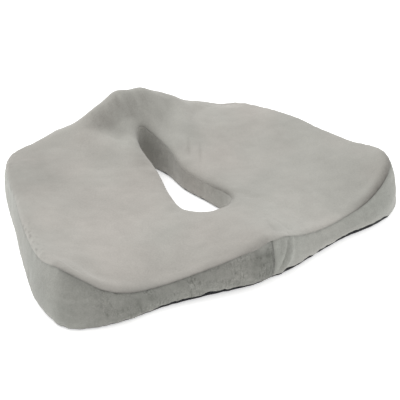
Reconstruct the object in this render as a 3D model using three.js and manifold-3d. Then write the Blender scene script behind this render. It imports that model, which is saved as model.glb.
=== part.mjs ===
// Contoured seat cushion: a moulded foam ring with an open relief slot in the
// middle, a knit liner round the foam, and a zipped plush cover with a grippy
// base.  Millimetres, +Z up, +Y to the back of the seat, left and right as seen
// from the front.  The origin is the centre of the footprint, on the surface
// the cushion lies on.
import * as THREE from "three";
import { mergeVertices } from "three/addons/utils/BufferGeometryUtils.js";
import Module from "manifold-3d";

const wasm = await Module();
wasm.setup();

// ---------------------------------------------------------------- dimensions
const REAR_Y = 173.1; // flat rear wall
const REAR_HALF = 126; // half length of the flat rear wall and of the zip panel
const COVER_T = 1.6; // plush cover fabric
const LINER_OUT = 3.0; // liner's outer face, below the cover's outer face
const LINER_T = 0.8;
const FOAM_IN = 4.2; // foam skin, below the cover's outer face
const SEAM_GAP = 0.2; // half the gap left between two sewn edges
const ZIP_RECESS = 3.6; // hollow in liner and foam behind the zip
const SLIT_W = 1.2; // kerf cut through the foam, so it can be fed round the sleeve

// Stations of the footprint, right half, front centre to rear centre:
// x, y, height of the top seam, how far the top seam stands in from the footprint.
const OUTER = [
  [0, -175.9, 46, 2.6],
  [14.4, -178.1, 43.6, 4.2],
  [38.2, -175.3, 36, 4.5],
  [76.1, -167.4, 26.4, 5.9],
  [119.6, -160.4, 20.6, 8],
  [163, -159, 29, 10.4],
  [197.6, -151, 47, 11.2],
  [220, -130.4, 59, 9.2],
  [225, -93.4, 55, 6.4],
  [218.9, -45.5, 48.8, 4.6],
  [206.4, 21.9, 48.4, 4.6],
  [189.8, 93.4, 46, 3.4],
  [174, 142, 41.4, 3],
  [155.5, 166.4, 40, 3.4],
  [126, 173.1, 43.5, 4],
  [93, 173.1, 50.5, 6],
  [62, 173.1, 63, 8],
  [31, 173.1, 79.5, 10],
  [0, 173.1, 85, 10],
];
// Stations of the relief slot, right half: x, y, height of its top seam.
const SLOT = [
  [0, -76, 31],
  [19.8, -71.9, 31],
  [31.6, -48.5, 27],
  [26, -10.2, 26],
  [17.2, 31.1, 29.5],
  [17.8, 68.4, 36.5],
  [10.2, 96.6, 47],
  [0, 105.6, 54],
];
// Inner height stations of the seat surface, right half: x, y, z.
const SEAT = [
  [45, -120.4, 36.5],
  [110, -107.4, 33.5],
  [168, -102.4, 43],
  [80, -50.4, 33.5],
  [150, -40.4, 41],
  [68, 19.6, 35.5],
  [135, 29.6, 42],
  [66, 73.6, 42],
  [128, 85.6, 46.5],
  [36, 109.6, 60.5],
  [95, 123.6, 53],
  [0, 124, 83],
  [0, 139.5, 102.6],
  [19, 140.5, 101.6],
  [42, 145, 89],
  [72, 148, 68],
];
const EDGE_R = 10; // the top edge rounds over this far inside its seam
const SLOT_R = 11; // and this far outside the slot's top seam

// --------------------------------------------------------- curves and surface
function catmull(p, n) {
  // n samples of a closed curve through rows of p, evenly spaced in plan, and
  // the first sample on the first row
  const fine = [];
  const m = p.length;
  for (let i = 0; i < m; i++)
    for (let k = 0; k < 40; k++) {
      const t = k / 40,
        a = p[(i + m - 1) % m],
        b = p[i],
        c = p[(i + 1) % m],
        d = p[(i + 2) % m];
      fine.push(
        b.map(
          (_, j) =>
            0.5 *
            (2 * b[j] +
              (c[j] - a[j]) * t +
              (2 * a[j] - 5 * b[j] + 4 * c[j] - d[j]) * t * t +
              (3 * b[j] - a[j] - 3 * c[j] + d[j]) * t * t * t),
        ),
      );
    }
  fine.push(fine[0]);
  const s = [0];
  for (let i = 1; i < fine.length; i++)
    s.push(
      s[i - 1] +
        Math.hypot(fine[i][0] - fine[i - 1][0], fine[i][1] - fine[i - 1][1]),
    );
  const total = s[s.length - 1];
  const at = (f) => {
    const want = (((f % 1) + 1) % 1) * total;
    let lo = 0,
      hi = s.length - 1;
    while (hi - lo > 1) {
      const mid = (lo + hi) >> 1;
      if (s[mid] <= want) lo = mid;
      else hi = mid;
    }
    const w = (want - s[lo]) / Math.max(s[hi] - s[lo], 1e-9);
    return fine[lo].map((v, j) => v + (fine[hi][j] - v) * w);
  };
  return n ? Array.from({ length: n }, (_, i) => at(i / n)) : { at, total };
}
const mirrored = (half) => [
  ...half,
  ...half
    .slice(1, -1)
    .reverse()
    .map((r) => [-r[0], ...r.slice(1)]),
];
const outerCurve = catmull(mirrored(OUTER)),
  slotCurve = catmull(mirrored(SLOT));

// The fraction of the footprint's length at which the flat rear wall starts.
let REAR_F = 0.36;
{
  let lo = 0.25,
    hi = 0.5;
  for (let i = 0; i < 60; i++) {
    const mid = (lo + hi) / 2,
      q = outerCurve.at(mid);
    if (q[0] > REAR_HALF || q[1] < 100) lo = mid;
    else hi = mid;
  }
  REAR_F = hi;
}
const N_SIDE = 17,
  N_REAR = 12; // segments on each side, and on the rear wall
// n + 1 fractions from f0 to f1, closer together where the curve turns
function spaced(curve, f0, f1, n, weight) {
  const m = 600,
    acc = [0],
    dir = (f) => {
      const a = curve.at(f - 0.001),
        b = curve.at(f + 0.001);
      return Math.atan2(b[1] - a[1], b[0] - a[0]);
    };
  let was = dir(f0);
  for (let i = 1; i <= m; i++) {
    const f = f0 + ((f1 - f0) * i) / m,
      now = dir(f);
    let turn = now - was;
    while (turn > Math.PI) turn -= 2 * Math.PI;
    while (turn < -Math.PI) turn += 2 * Math.PI;
    was = now;
    acc.push(acc[i - 1] + ((f1 - f0) / m) * curve.total + weight * Math.abs(turn));
  }
  return Array.from({ length: n + 1 }, (_, k) => {
    const want = (acc[m] * k) / n;
    let i = 1;
    while (i < m && acc[i] < want) i++;
    const w = (want - acc[i - 1]) / Math.max(acc[i] - acc[i - 1], 1e-9);
    return f0 + ((f1 - f0) * (i - 1 + w)) / m;
  });
}
function stations(curve, rearF, weight) {
  const side = spaced(curve, 0, rearF, N_SIDE, weight),
    half = spaced(curve, rearF, 0.5, N_REAR / 2, weight);
  const right = [...side.slice(0, -1), ...half];
  return [...right, ...right.slice(1, -1).reverse().map((f) => 1 - f)];
}
const FR = stations(outerCurve, REAR_F, 140),
  FS = stations(slotCurve, 0.37, 22);
const NU = FR.length;
const U_RIGHT0 = 0,
  U_REAR0 = N_SIDE,
  U_REAR1 = N_SIDE + N_REAR;

function ringNormals(curve, fr) {
  return fr.map((f) => {
    const a = curve.at(f - 0.002),
      b = curve.at(f + 0.002),
      tx = b[0] - a[0],
      ty = b[1] - a[1],
      l = Math.hypot(tx, ty);
    return [ty / l, -tx / l]; // points away from the middle of the ring
  });
}
const O = FR.map((f) => outerCurve.at(f)),
  ON = ringNormals(outerCurve, FR);
for (const [i, q] of O.entries()) {
  if (i >= U_REAR0 && i <= U_REAR1) {
    q[1] = REAR_Y;
    ON[i] = [0, 1];
  }
}
O[U_REAR0][0] = REAR_HALF;
O[U_REAR1][0] = -REAR_HALF;
const I = FS.map((f) => slotCurve.at(f)),
  IN = ringNormals(slotCurve, FS);

// Thin-plate spline through the seat's height stations.
function plate(pts) {
  const n = pts.length,
    k = (r2) => (r2 > 1e-9 ? 0.5 * r2 * Math.log(r2) : 0);
  const A = [],
    sz = n + 3;
  for (let i = 0; i < n; i++) {
    const row = pts.map(
      (q) => k(((pts[i][0] - q[0]) ** 2 + (pts[i][1] - q[1]) ** 2) / 1e4),
    );
    row[i] += 1e-4;
    A.push([...row, 1, pts[i][0] / 100, pts[i][1] / 100, pts[i][2]]);
  }
  for (let j = 0; j < 3; j++)
    A.push([
      ...pts.map((q) => (j === 0 ? 1 : q[j - 1] / 100)),
      0,
      0,
      0,
      0,
    ]);
  for (let c = 0; c < sz; c++) {
    let p = c;
    for (let r = c + 1; r < sz; r++)
      if (Math.abs(A[r][c]) > Math.abs(A[p][c])) p = r;
    [A[c], A[p]] = [A[p], A[c]];
    for (let r = 0; r < sz; r++)
      if (r !== c) {
        const f = A[r][c] / A[c][c];
        if (f) for (let q = c; q <= sz; q++) A[r][q] -= f * A[c][q];
      }
  }
  const w = A.map((row, i) => row[sz] / row[i]);
  return (x, y) => {
    let z = w[n] + (w[n + 1] * x) / 100 + (w[n + 2] * y) / 100;
    for (let i = 0; i < n; i++)
      z += w[i] * k(((x - pts[i][0]) ** 2 + (y - pts[i][1]) ** 2) / 1e4);
    return z;
  };
}
const both = (rows) =>
  rows.flatMap((r) => (Math.abs(r[0]) < 1e-6 ? [r] : [r, [-r[0], r[1], r[2]]]));
const ringStations = [];
for (let i = 0; i < 40; i++) {
  const f = i / 40,
    q = outerCurve.at(f),
    [n] = ringNormals(outerCurve, [f]);
  ringStations.push([
    q[0] - n[0] * (q[3] + EDGE_R),
    q[1] - n[1] * (q[3] + EDGE_R),
    q[2] + 4.5,
  ]);
}
for (let i = 0; i < 20; i++) {
  const f = i / 20,
    q = slotCurve.at(f),
    [n] = ringNormals(slotCurve, [f]);
  ringStations.push([q[0] + n[0] * SLOT_R, q[1] + n[1] * SLOT_R, q[2] + 8]);
}
const seatZ = plate([...ringStations, ...both(SEAT)]);

// The cover's outer face as a grid: one closed section per station round the
// cushion, running from the slot's foot, out under the base, up the side, over
// the seat and down the slot's wall.
const SEC = []; // SEC[u][v] = Vector3
const TOP_STEPS = [0.14, 0.29, 0.46, 0.64, 0.82];
for (let u = 0; u < NU; u++) {
  const [ox, oy, h, d] = O[u],
    [nx, ny] = ON[u],
    [ix, iy, ih] = I[u],
    [mx, my] = IN[u];
  const out = (off, z) => new THREE.Vector3(ox - nx * off, oy - ny * off, z);
  const inn = (off, z) => new THREE.Vector3(ix + mx * off, iy + my * off, z);
  const rear = u >= U_REAR0 && u <= U_REAR1;
  const row = [];
  // base
  row.push(inn(3.5, 0));
  const a = inn(3.5, 0),
    b = out(2.4, 0);
  for (const t of [0.3, 0.65]) row.push(a.clone().lerp(b, t));
  row.push(out(2.4, 0));
  row.push(out(0, 3)); // v=4: base seam
  // side
  row.push(out(rear ? 0 : -0.6, rear ? 14.5 : 0.36 * h)); // v=5
  row.push(out(rear ? 0 : 0, rear ? 25.5 : 0.6 * h)); // v=6
  row.push(out(rear ? 0 : 0.45 * d, rear ? 36 : 0.82 * h)); // v=7
  row.push(out(d, h)); // v=8: top seam
  // seat
  const t0 = out(d + EDGE_R, 0),
    t1 = inn(SLOT_R, 0);
  const p0 = out(d + 0.45 * EDGE_R, 0);
  p0.z = h + (seatZ(t0.x, t0.y) - h) * 0.7;
  row.push(p0); // v=9
  t0.z = seatZ(t0.x, t0.y);
  row.push(t0); // v=10
  for (const s of TOP_STEPS) {
    const q = t0.clone().lerp(t1, s);
    q.z = seatZ(q.x, q.y);
    row.push(q);
  }
  t1.z = seatZ(t1.x, t1.y);
  row.push(t1); // v=16
  const t2 = inn(0.42 * SLOT_R, 0);
  t2.z = ih + (t1.z - ih) * 0.7;
  row.push(t2); // v=17
  row.push(inn(0, ih)); // v=18: slot's top seam
  // slot wall
  row.push(inn(0, 3 + (ih - 3) * 0.5)); // v=19
  row.push(inn(0, 3)); // v=20: slot's base seam
  SEC.push(row);
}
const NV = SEC[0].length; // 21
const V_BASE1 = 4,
  V_SEAM = 8,
  V_SLOT = 18,
  V_SLOT0 = 20;

// Vertex normals of the closed grid.
const NRM = SEC.map((row) => row.map(() => new THREE.Vector3()));
{
  const wrapU = (u) => (u + NU) % NU,
    wrapV = (v) => (v + NV) % NV;
  for (let u = 0; u < NU; u++)
    for (let v = 0; v < NV; v++) {
      const c = SEC[u][v];
      const around = [
        SEC[wrapU(u + 1)][v],
        SEC[u][wrapV(v + 1)],
        SEC[wrapU(u - 1)][v],
        SEC[u][wrapV(v - 1)],
      ];
      const n = new THREE.Vector3();
      for (let k = 0; k < 4; k++) {
        const e = around[k].clone().sub(c),
          g = around[(k + 1) % 4].clone().sub(c);
        const x = e.cross(g);
        if (x.length() > 1e-9) n.add(x.normalize());
      }
      NRM[u][v] = n.normalize();
    }
}
// A point of the cover's outer face sunk by off, level under the base and deeper
// behind the zip.
function sunk(u, v, off, recess) {
  const c = SEC[u][v],
    q = c.clone().addScaledVector(NRM[u][v], -off);
  if (v <= 3) {
    // the base stays level, and its edges draw in
    const [nx, ny] = ON[u],
      [mx, my] = IN[u];
    q.copy(c);
    q.z = off;
    if (v === 3) q.set(c.x - nx * 0.9 * off, c.y - ny * 0.9 * off, off);
    if (v === 0) q.set(c.x + mx * 0.6 * off, c.y + my * 0.6 * off, off);
  }
  if (v === 4 || v === 20) {
    const [nx, ny] = v === 4 ? ON[u] : IN[u],
      s = v === 4 ? -1 : 1;
    q.set(c.x + s * nx * off, c.y + s * ny * off, c.z + 0.6 * off);
  }
  if (recess && u >= U_REAR0 && u <= U_REAR1 && v >= 3 && v <= 7)
    q.y = Math.min(q.y, REAR_Y - off - recess);
  return q;
}

// ------------------------------------------------------------- mesh builders
function solidOf(tris) {
  // tris: flat list of Vector3 triples, closed, facing out
  const g = new THREE.BufferGeometry();
  g.setAttribute(
    "position",
    new THREE.Float32BufferAttribute(
      tris.flatMap((q) => [q.x, q.y, q.z]),
      3,
    ),
  );
  return mergeVertices(g, 1e-4);
}
// Closed slab of the cover's surface between two depths, over u0..u1 and v0..v1.
// A full turn in u leaves out the two end walls.
function slab(u0, u1, v0, v1, d0, d1, { recess = 0, trim = SEAM_GAP } = {}) {
  const full = u1 - u0 === NU;
  const us = [];
  for (let u = u0; u <= (full ? u1 - 1 : u1); u++) us.push(u);
  const grid = (off) =>
    us.map((u, i) => {
      const row = [];
      for (let v = v0; v <= v1; v++) row.push(sunk(u % NU, v % NV, off, recess));
      return row;
    });
  const outer = grid(d0),
    inner = grid(d1);
  const pull = (g) => {
    // sewn edges stand off their neighbour by the seam gap
    for (const row of g) {
      const n = row.length;
      const a = row[1].clone().sub(row[0]).normalize(),
        b = row[n - 2].clone().sub(row[n - 1]).normalize();
      row[0].addScaledVector(a, trim);
      row[n - 1].addScaledVector(b, trim);
    }
    if (!full) {
      const n = g.length;
      g[0].forEach((p, k) =>
        p.addScaledVector(g[1][k].clone().sub(p).normalize(), trim),
      );
      g[n - 1].forEach((p, k) =>
        p.addScaledVector(g[n - 2][k].clone().sub(p).normalize(), trim),
      );
    }
  };
  if (trim > 0) {
    pull(outer);
    pull(inner);
  }
  const T = [];
  const quad = (a, b, c, d) => T.push(a, b, c, a, c, d);
  const nu = us.length,
    nv = v1 - v0 + 1;
  const nextU = (i) => (full ? (i + 1) % nu : i + 1);
  for (let i = 0; i < (full ? nu : nu - 1); i++)
    for (let k = 0; k < nv - 1; k++) {
      const j = nextU(i);
      quad(outer[i][k], outer[j][k], outer[j][k + 1], outer[i][k + 1]);
      quad(inner[i][k], inner[i][k + 1], inner[j][k + 1], inner[j][k]);
    }
  for (let i = 0; i < (full ? nu : nu - 1); i++) {
    const j = nextU(i),
      e = nv - 1;
    quad(outer[i][0], inner[i][0], inner[j][0], outer[j][0]);
    quad(outer[i][e], outer[j][e], inner[j][e], inner[i][e]);
  }
  if (!full) {
    const e = nu - 1;
    for (let k = 0; k < nv - 1; k++) {
      quad(outer[0][k], outer[0][k + 1], inner[0][k + 1], inner[0][k]);
      quad(outer[e][k], inner[e][k], inner[e][k + 1], outer[e][k + 1]);
    }
  }
  return solidOf(T);
}
// Closed surface of the whole ring, sunk by off.
function ringSolid(off, recess) {
  const g = SEC.map((_, u) => SEC[u].map((_, v) => sunk(u, v, off, recess)));
  const T = [];
  for (let u = 0; u < NU; u++)
    for (let v = 0; v < NV; v++) {
      const a = g[u][v],
        b = g[(u + 1) % NU][v],
        c = g[(u + 1) % NU][(v + 1) % NV],
        d = g[u][(v + 1) % NV];
      T.push(a, b, c, a, c, d);
    }
  return solidOf(T);
}
const manifold = (geometry) => {
  const g = geometry.clone();
  g.deleteAttribute("normal");
  g.deleteAttribute("uv");
  const m = mergeVertices(g, 1e-4);
  return new wasm.Manifold(
    new wasm.Mesh({
      numProp: 3,
      vertProperties: m.attributes.position.array,
      triVerts: new Uint32Array(m.index.array),
    }),
  );
};
const geometryOf = (solid) => {
  const m = solid.getMesh(),
    g = new THREE.BufferGeometry();
  g.setAttribute(
    "position",
    new THREE.BufferAttribute(new Float32Array(m.vertProperties), 3),
  );
  g.setIndex(new THREE.BufferAttribute(new Uint32Array(m.triVerts), 1));
  return g;
};
const box = (x0, x1, y0, y1, z0, z1) => {
  const g = new THREE.BoxGeometry(x1 - x0, y1 - y0, z1 - z0);
  g.translate((x0 + x1) / 2, (y0 + y1) / 2, (z0 + z1) / 2);
  return g;
};
const union = (...gs) => {
  let s = manifold(gs[0]);
  for (const g of gs.slice(1)) s = s.add(manifold(g));
  return geometryOf(s);
};
const cut = (g, ...tools) => {
  let s = manifold(g);
  for (const t of tools) s = s.subtract(manifold(t));
  return geometryOf(s);
};

// ------------------------------------------------------------------ the zip
const ZIP_Z = 20; // centre line of the zip above the base
const COIL_X = 110; // half length of the coils
const COIL_W = 2.4; // width of one coil across the tape
const COIL_GAP = 1.6; // clear way between the coils, for the slider's neck
const TAPE_Y1 = REAR_Y - COVER_T - 0.3, // tape's outer face
  TAPE_T = 0.8,
  TAPE_W = 13;
const PITCH = 7; // of the teeth

function coil(sign) {
  // a rack of teeth pointing at the other coil, on a narrow cord
  const s = new THREE.Shape();
  const z0 = COIL_GAP / 2,
    z1 = z0 + COIL_W,
    root = z0 + 1.1;
  s.moveTo(-COIL_X, z1);
  s.lineTo(-COIL_X, root);
  for (let x = -COIL_X + 1; x < COIL_X - PITCH * 0.5; x += PITCH) {
    s.lineTo(x, root);
    s.lineTo(x + 0.4, z0);
    s.lineTo(x + PITCH * 0.52, z0);
    s.lineTo(x + PITCH * 0.52 + 0.4, root);
  }
  s.lineTo(COIL_X, root);
  s.lineTo(COIL_X, z1);
  s.closePath();
  const g = new THREE.ExtrudeGeometry(s, { depth: 1.5, bevelEnabled: false });
  // shape plane XY -> XZ of the cushion, depth along -Y
  g.rotateX(Math.PI / 2);
  if (sign < 0) g.rotateY(Math.PI);
  // after rotateX the shape's +y is +z; the depth runs to -y
  g.translate(0, REAR_Y - 0.05, ZIP_Z);
  return g;
}
function tape(sign) {
  const a = ZIP_Z + sign * (COIL_GAP / 2 + 0.1),
    b = a + sign * TAPE_W;
  return box(
    -REAR_HALF + 1,
    REAR_HALF - 1,
    TAPE_Y1 - TAPE_T,
    TAPE_Y1,
    Math.min(a, b),
    Math.max(a, b),
  );
}
// Slider, centred on x = 0: two plates, side flanges, a neck between the coils
// and a bridge for the pull tab.
const SL_L = 11; // length of the slider
const SL_W = 9.6; // width across the zip
const PLATE_Y0 = REAR_Y + 0.3,
  PLATE_T = 1.4;
const HINGE_Y = PLATE_Y0 + PLATE_T + 1.1; // pull tab's hinge line
function sliderShape() {
  const plan = new THREE.Shape();
  const l = SL_L / 2,
    w = SL_W / 2,
    c = 1.8;
  plan.moveTo(-l + c, -w * 0.82);
  plan.lineTo(l - c, -w);
  plan.lineTo(l, -w + c);
  plan.lineTo(l, w - c);
  plan.lineTo(l - c, w);
  plan.lineTo(-l + c, w * 0.82);
  plan.lineTo(-l, w * 0.5);
  plan.lineTo(-l, -w * 0.5);
  plan.closePath();
  const plate = (y0, t) => {
    const g = new THREE.ExtrudeGeometry(plan, { depth: t, bevelEnabled: false });
    g.rotateX(Math.PI / 2);
    g.translate(0, y0 + t, ZIP_Z);
    return g;
  };
  const backY1 = TAPE_Y1 - TAPE_T - 0.35; // behind the tapes
  const front = plate(PLATE_Y0, PLATE_T),
    back = plate(backY1 - 1.2, 1.2);
  const neck = box(1.5, 4.5, backY1 - 0.4, PLATE_Y0 + 0.5, ZIP_Z - 0.5, ZIP_Z + 0.5);
  const fl = (s) =>
    box(
      -l + 2.2,
      l - 2.2,
      REAR_Y - 1.2,
      PLATE_Y0 + 0.4,
      ZIP_Z + s * 4.2 - 0.42,
      ZIP_Z + s * 4.2 + 0.42,
    );
  const post = (x) =>
    box(x - 0.6, x + 0.6, PLATE_Y0 + PLATE_T - 0.3, HINGE_Y + 2.2, ZIP_Z - 1.3, ZIP_Z + 1.3);
  const bar = box(-3.6, 3.6, HINGE_Y + 1.1, HINGE_Y + 2.2, ZIP_Z - 1.3, ZIP_Z + 1.3);
  return union(front, back, neck, fl(1), fl(-1), post(-3), post(3), bar);
}
// Pull tab: a flat tongue with a window whose end bar passes under the bridge.
// It lies along -X from its hinge line at x = 0.
const TAB_L = 27,
  TAB_W = 8.4,
  TAB_T = 1.3;
function tabShape() {
  const s = new THREE.Shape();
  const w = TAB_W / 2;
  s.moveTo(0.65, -2.9);
  s.lineTo(0.65, 2.9);
  s.lineTo(-6, w * 0.8);
  s.absarc(-TAB_L + w, 0, w, Math.PI / 2, (3 * Math.PI) / 2, false);
  s.lineTo(-6, -w * 0.8);
  s.closePath();
  const hole = new THREE.Path();
  hole.moveTo(-0.65, -1.75);
  hole.lineTo(-5.4, -1.75);
  hole.lineTo(-5.4, 1.75);
  hole.lineTo(-0.65, 1.75);
  hole.closePath();
  s.holes.push(hole);
  const grip = new THREE.Path();
  grip.absellipse(-TAB_L + 5.6, 0, 2.2, 1.9, 0, Math.PI * 2, true);
  s.holes.push(grip);
  const g = new THREE.ExtrudeGeometry(s, {
    depth: TAB_T,
    bevelEnabled: false,
    curveSegments: 8,
  });
  g.rotateX(Math.PI / 2);
  g.translate(0, TAB_T / 2, 0);
  return g;
}

// -------------------------------------------------------------- the assembly
const cushion = new THREE.Group();
const look = (color, roughness, metalness = 0) =>
  new THREE.MeshStandardMaterial({ color, roughness, metalness });
const PLUSH = look(0xb0ada8, 0.95),
  PLUSH_SIDE = look(0x9b9a95, 0.95),
  GRIP = look(0x35363a, 0.9),
  KNIT = look(0xe9e6df, 0.95),
  FOAM = look(0xf0e6c8, 0.9),
  NYLON = look(0x8b8a86, 0.6),
  METAL = look(0xa7a8aa, 0.35, 1),
  SATIN = look(0xf1f1ee, 0.6);
function add(parent, name, geometry, material) {
  const m = new THREE.Mesh(geometry, material);
  m.name = name;
  parent.add(m);
  return m;
}

// Foam ring, cut through at the front so that it can be fed round the cover's
// sewn-in slot sleeve.
add(
  cushion,
  "foam_core",
  cut(
    ringSolid(FOAM_IN, ZIP_RECESS),
    box(-SLIT_W / 2, SLIT_W / 2, -190, -60, -5, 90),
  ),
  FOAM,
);
// Knit liner, an open-ended bag: its mouth is behind the zip.
add(
  cushion,
  "foam_liner",
  (() => {
    const skin = manifold(ringSolid(LINER_OUT, ZIP_RECESS)).subtract(
      manifold(ringSolid(LINER_OUT + LINER_T, ZIP_RECESS)),
    );
    const mouth = manifold(
      box(-95, 95, REAR_Y - 20, REAR_Y + 5, ZIP_Z - 0.8, ZIP_Z + 0.8),
    );
    return geometryOf(skin.subtract(mouth));
  })(),
  KNIT,
);

// Cover panels.
add(
  cushion,
  "cover_top_panel",
  slab(0, NU, V_SEAM, V_SLOT, 0, COVER_T),
  PLUSH,
);
add(
  cushion,
  "cover_slot_sleeve",
  slab(0, NU, V_SLOT, V_SLOT0, 0, COVER_T),
  PLUSH_SIDE,
);
add(
  cushion,
  "cover_side_band_right",
  slab(U_RIGHT0, U_REAR0, V_BASE1, V_SEAM, 0, COVER_T),
  PLUSH_SIDE,
);
add(
  cushion,
  "cover_side_band_left",
  slab(U_REAR1, NU, V_BASE1, V_SEAM, 0, COVER_T),
  PLUSH_SIDE,
);
add(
  cushion,
  "cover_zip_panel_upper",
  slab(U_REAR0, U_REAR1, 6, V_SEAM, 0, COVER_T),
  PLUSH_SIDE,
);
add(
  cushion,
  "cover_zip_panel_lower",
  slab(U_REAR0, U_REAR1, V_BASE1, 5, 0, COVER_T),
  PLUSH_SIDE,
);
add(cushion, "cover_base_panel", slab(0, NU, 0, V_BASE1, 0, COVER_T), GRIP);

// Zip.
add(cushion, "zip_tape_upper", tape(1), NYLON);
add(cushion, "zip_tape_lower", tape(-1), NYLON);
add(cushion, "zip_coil_upper", coil(1), NYLON);
add(cushion, "zip_coil_lower", coil(-1), NYLON);
for (const [name, s] of [
  ["zip_top_stop_upper", 1],
  ["zip_top_stop_lower", -1],
]) {
  const z0 = ZIP_Z + s * 0.9,
    z1 = ZIP_Z + s * 3.4;
  add(
    cushion,
    name,
    box(COIL_X + 0.4, COIL_X + 3, REAR_Y - 1.55, REAR_Y + 0.5, Math.min(z0, z1), Math.max(z0, z1)),
    METAL,
  );
}
add(
  cushion,
  "zip_bottom_stop",
  box(-COIL_X - 3.4, -COIL_X - 0.4, REAR_Y - 1.55, REAR_Y + 0.5, ZIP_Z - 3.4, ZIP_Z + 3.4),
  METAL,
);
const carriage = new THREE.Group();
carriage.position.set(COIL_X - SL_L / 2 - 0.6, 0, 0);
cushion.add(carriage);
add(carriage, "zip_slider", sliderShape(), METAL);
const tabPivot = new THREE.Group();
tabPivot.position.set(0, HINGE_Y, ZIP_Z);
carriage.add(tabPivot);
add(tabPivot, "zip_pull_tab", tabShape(), METAL);

// Care label, a folded satin strip sewn into the seam beside the zip.
add(
  cushion,
  "care_label",
  box(REAR_HALF - 24, REAR_HALF - 0.6, REAR_Y + 0.4, REAR_Y + 1.0, 28, 40),
  SATIN,
);

export default cushion;
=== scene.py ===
import math

import bmesh
import bpy
import numpy as np
from mathutils import Matrix, Vector
from mathutils.kdtree import KDTree


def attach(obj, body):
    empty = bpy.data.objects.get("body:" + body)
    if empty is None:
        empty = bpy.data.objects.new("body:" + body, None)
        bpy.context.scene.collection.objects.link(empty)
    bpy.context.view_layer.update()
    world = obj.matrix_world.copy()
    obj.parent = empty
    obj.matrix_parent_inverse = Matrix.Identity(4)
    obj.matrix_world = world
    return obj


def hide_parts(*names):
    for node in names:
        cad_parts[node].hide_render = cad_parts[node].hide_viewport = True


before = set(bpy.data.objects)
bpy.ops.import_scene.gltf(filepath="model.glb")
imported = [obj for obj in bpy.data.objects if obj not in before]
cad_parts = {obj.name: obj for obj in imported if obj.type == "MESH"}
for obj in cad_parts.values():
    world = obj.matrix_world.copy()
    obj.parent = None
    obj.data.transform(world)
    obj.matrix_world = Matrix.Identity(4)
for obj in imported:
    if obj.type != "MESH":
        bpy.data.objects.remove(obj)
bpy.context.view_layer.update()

MM = 0.001
TAU = 2 * math.pi

# ------------------------------------------------------------ shape, in mm
REAR_Y = 173.1  # flat rear wall
REAR_HALF = 126.0
EDGE_R = 10.0
SLOT_R = 11.0
# right half of the footprint: x, y, height of the top seam, its inset
OUTER = [
  [0, -175.9, 46, 2.6],
  [14.4, -178.1, 43.6, 4.2],
  [38.2, -175.3, 36, 4.5],
  [76.1, -167.4, 26.4, 5.9],
  [119.6, -160.4, 20.6, 8],
  [163, -159, 29, 10.4],
  [197.6, -151, 47, 11.2],
  [220, -130.4, 59, 9.2],
  [225, -93.4, 55, 6.4],
  [218.9, -45.5, 48.8, 4.6],
  [206.4, 21.9, 48.4, 4.6],
  [189.8, 93.4, 46, 3.4],
  [174, 142, 41.4, 3],
  [155.5, 166.4, 40, 3.4],
  [126, 173.1, 43.5, 4],
  [93, 173.1, 50.5, 6],
  [62, 173.1, 63, 8],
  [31, 173.1, 79.5, 10],
  [0, 173.1, 85, 10],
]
# right half of the relief slot: x, y, height of its top seam
SLOT = [
  [0, -76, 31],
  [19.8, -71.9, 31],
  [31.6, -48.5, 27],
  [26, -10.2, 26],
  [17.2, 31.1, 29.5],
  [17.8, 68.4, 36.5],
  [11, 99.5, 50],
  [0, 111.5, 61],
]
# inner heights of the seat, right half: x, y, z
SEAT = [
  [45, -120.4, 36.5],
  [110, -107.4, 33.5],
  [168, -102.4, 43],
  [80, -50.4, 33.5],
  [150, -40.4, 41],
  [68, 19.6, 35.5],
  [135, 29.6, 42],
  [66, 73.6, 42],
  [128, 85.6, 46.5],
  [36, 109.6, 60.5],
  [95, 123.6, 53],
  [0, 124, 83],
  [0, 139.5, 102.6],
  [19, 140.5, 101.6],
  [42, 145, 89],
  [72, 148, 68],
]


def mirrored(half):
    return list(half) + [[-r[0], *r[1:]] for r in reversed(half[1:-1])]


def catmull(rows, soften):
    """Sampler of a closed curve through rows, by fraction of its length in plan."""
    P = np.array(rows, float)
    a, b, c, d = (np.roll(P, k, 0)[:, None] for k in (1, 0, -1, -2))
    T = np.linspace(0, 1, 60, endpoint=False)[None, :, None]
    F = 0.5 * (
        2 * b
        + (c - a) * T
        + (2 * a - 5 * b + 4 * c - d) * T**2
        + (3 * b - a - 3 * c + d) * T**3
    )
    F = F.reshape(-1, P.shape[1])

    def arc(F):
        G = np.vstack([F, F[:1]])
        s = np.r_[0, np.cumsum(np.hypot(*np.diff(G[:, :2], axis=0).T))]
        return G, s

    G, s = arc(F)
    n = 1600
    F = np.stack(
        [np.interp(np.arange(n) / n * s[-1], s, G[:, k]) for k in range(G.shape[1])], -1
    )
    sig = soften / (s[-1] / n)
    k = np.arange(-int(4 * sig) - 1, int(4 * sig) + 2)
    w = np.exp(-0.5 * (k / max(sig, 1e-6)) ** 2)
    w /= w.sum()
    F = sum(wi * np.roll(F, -ki, 0) for wi, ki in zip(w, k))
    G, s = arc(F)

    def at(f):
        want = np.mod(np.asarray(f, float), 1.0) * s[-1]
        return np.stack([np.interp(want, s, G[:, j]) for j in range(G.shape[1])], -1)

    return at, s[-1]


outer_at, OUTER_LEN = catmull(mirrored(OUTER), 4.0)
slot_at, SLOT_LEN = catmull(mirrored(SLOT), 2.5)


def ring_normals(at, f, step=0.003):
    t = at(f + step)[..., :2] - at(f - step)[..., :2]
    t /= np.linalg.norm(t, axis=-1, keepdims=True)
    return np.stack([t[..., 1], -t[..., 0]], -1)


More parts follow.
